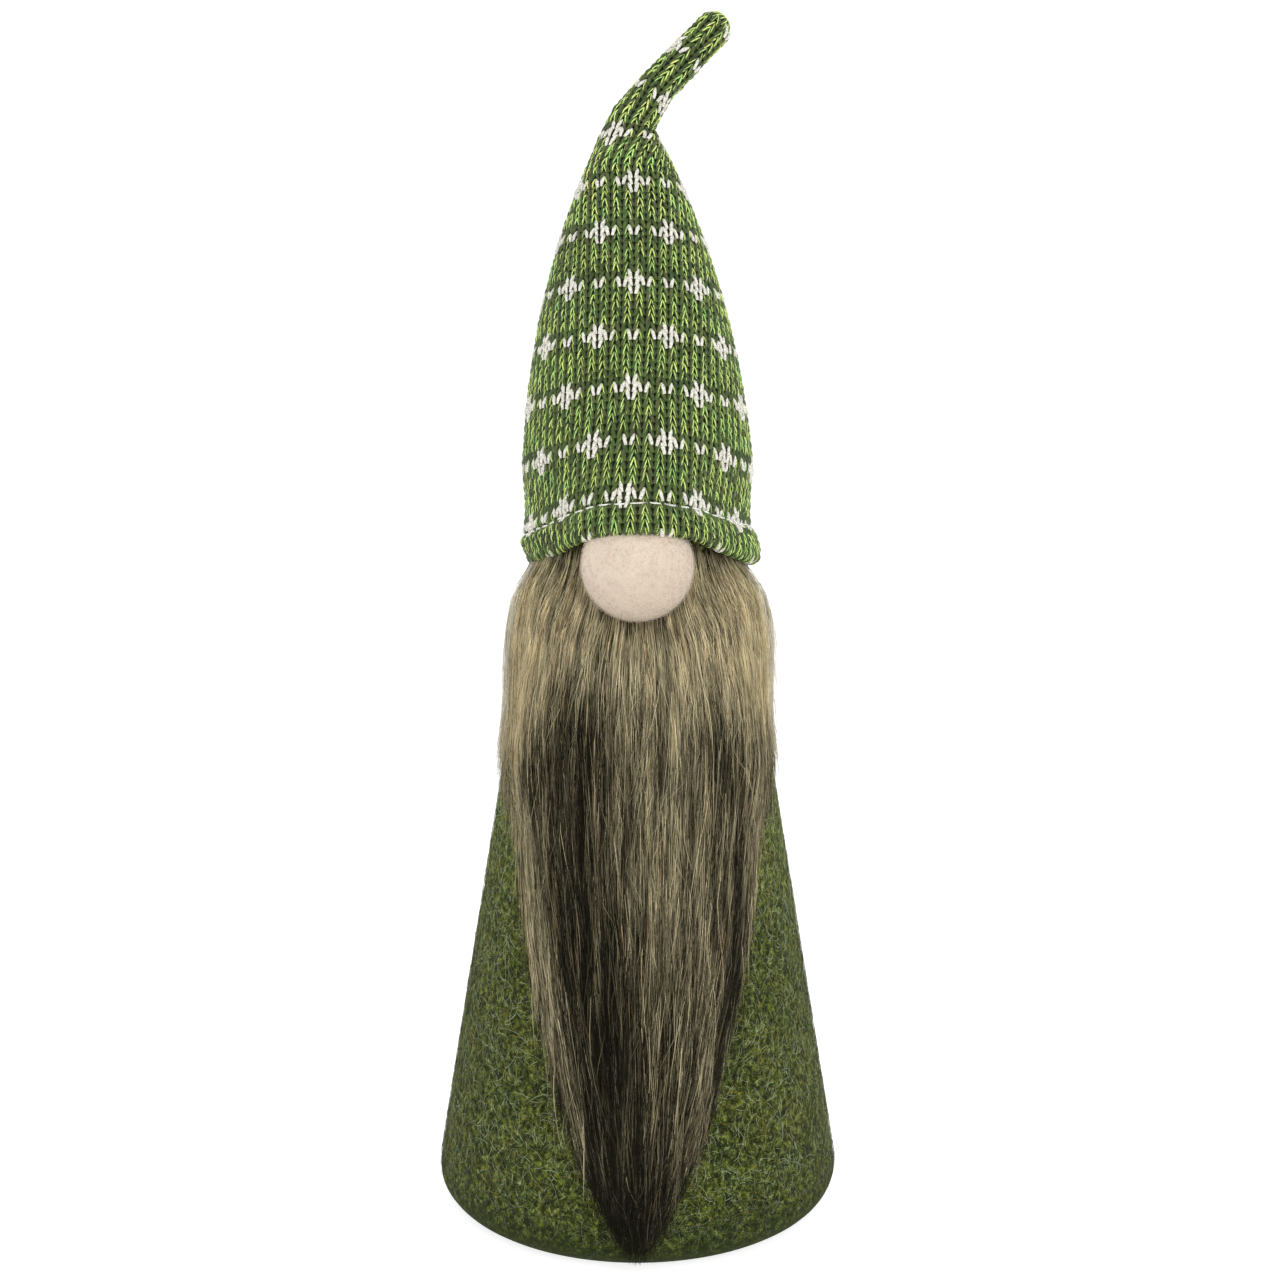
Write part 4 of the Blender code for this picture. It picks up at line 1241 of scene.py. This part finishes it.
def make_nose_fuzz():
    """A short even fuzz on the front of the nose."""
    rng = np.random.default_rng(33)
    count = NOSE_FIBRE_COUNT
    direction = unit(rng.normal(size=(count, 3)))
    direction[:, 1] = -np.abs(direction[:, 1]) + 0.35 * (rng.random(count) < 0.3)
    direction = unit(direction)
    points = NOSE_CENTRE + direction * NOSE_SIZE
    normals = unit(direction / NOSE_SIZE)
    stops = [(0.3, (0.66, 0.54, 0.44)), (0.7, (0.78, 0.68, 0.57))]
    fibre, shade = fibre_material("fleece_fibre", 500.0, 0.3, stops)
    fibre.colour(shade)
    dye = np.full((count, 3), 0.8)
    length = rng.uniform(0.0006, 0.0018, count)
    lie = rng.uniform(0.0003, 0.0009, count)
    half = rng.uniform(0.00003, 0.00006, count)
    piece = short_fibres("nose_fuzz", rng, points, normals, length, lie, half, dye, fibre.material, 0.35)
    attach(piece, "figure")
    return piece


# ---------------------------------------------------------------- what carries over from the CAD

def paint_cad():
    """Gives every CAD node that still shows a material of its own kind."""
    looks = {
        "base_board": speckled("grey_board", (0.16, 0.11, 0.07), (0.30, 0.22, 0.14), 260.0, 0.85, 0.3),
        "ballast_bag": speckled("sacking", (0.20, 0.15, 0.09), (0.42, 0.34, 0.22), 420.0, 0.95, 0.8),
        "body_card": speckled("card", (0.26, 0.18, 0.10), (0.40, 0.30, 0.18), 180.0, 0.8, 0.3),
        "body_filling": speckled("stuffing", (0.55, 0.55, 0.52), (0.82, 0.82, 0.80), 150.0, 0.95, 0.9),
        "body_seam_thread": plain_thread("green_thread", (0.050, 0.075, 0.020), 900.0),
        "nose_tie_thread": plain_thread("tie_thread", (0.62, 0.58, 0.50), 900.0),
        "hat_wire": wire_material(),
    }
    looks["hat_seam_thread"] = looks["body_seam_thread"]
    for name, node in frame["nodes"].items():
        look = looks.get(name)
        if look is None and "filling" in name:
            look = looks["body_filling"]
        if look is None and "wire" in name:
            look = looks["hat_wire"]
        if look is not None:
            node.data.materials.clear()
            node.data.materials.append(look)


# ---------------------------------------------------------------- stage, light and camera

def stage_material():
    """Pale paper, lit a little from within so that it comes out even."""
    m = Nodes("paper_floor", 0.9, Emission_Color=(1.0, 1.0, 1.0, 1.0), Emission_Strength=0.80)
    spot = m.noise(m.place(), 3.0, 2.0)
    m.colour(m.ramp(spot, [(0.0, (0.44, 0.44, 0.44)), (1.0, (0.46, 0.46, 0.46))]))
    return m.material


def make_stage():
    """A wide round floor just under the figure."""
    radii = (0.02, 0.3, 1.0, 3.0, 9.0)
    points = np.array([around(full_turn(96), radius, -FLOOR_GAP) for radius in radii])
    grid, faces = ring_faces(*points.shape[:2])
    groups = [faces[:, ::-1], grid[0][None]]
    floor = mesh_object("floor", points.reshape(-1, 3), groups, stage_material())


def sun_light(name, towards, power, spread):
    """Even soft light from a direction, as from a wide lamp far off."""
    data = bpy.data.lights.new(name, "SUN")
    data.energy = power
    data.angle = math.radians(spread)
    light = bpy.data.objects.new(name, data)
    light.location = towards
    light.rotation_euler = Vector(towards).to_track_quat("Z", "Y").to_euler()
    bpy.context.scene.collection.objects.link(light)


def make_light():
    """Soft white light from all round, and a backdrop that the camera sees as white."""
    world = bpy.data.worlds.new("studio")
    bpy.context.scene.world = world
    world.use_nodes = True
    tree = world.node_tree
    background = tree.nodes["Background"]
    background.inputs["Color"].default_value = (1.0, 1.0, 1.0, 1.0)
    seen = tree.nodes.new("ShaderNodeLightPath").outputs["Is Camera Ray"]
    strength = tree.nodes.new("ShaderNodeMapRange")
    strength.inputs["To Min"].default_value = AMBIENT
    strength.inputs["To Max"].default_value = BACKDROP
    tree.links.new(seen, strength.inputs["Value"])
    tree.links.new(strength.outputs["Result"], background.inputs["Strength"])
    sun_light("key", (0.36, -1.00, 0.62), 0.81, 40.0)
    sun_light("top", (0.05, -0.30, 1.0), 0.72, 90.0)


def make_camera():
    """A camera a little above the figure's middle, looking slightly down."""
    data = bpy.data.cameras.new("camera")
    data.lens = CAMERA_LENS
    data.sensor_width = 36.0
    data.clip_start = 0.05
    camera = bpy.data.objects.new("camera", data)
    camera.location = CAMERA_PLACE
    camera.rotation_euler = (math.pi / 2.0 - CAMERA_TILT, 0.0, 0.0)
    bpy.context.scene.collection.objects.link(camera)
    bpy.context.scene.camera = camera
    bpy.context.scene.view_settings.view_transform = "Standard"


make_camera()
make_stage()
make_light()
yarn = yarn_material()
make_body(felt_material())
make_cap(yarn, cloth_material())
make_nose(fleece_material())
make_beard(hair_material(), backing_material())
paint_cad()
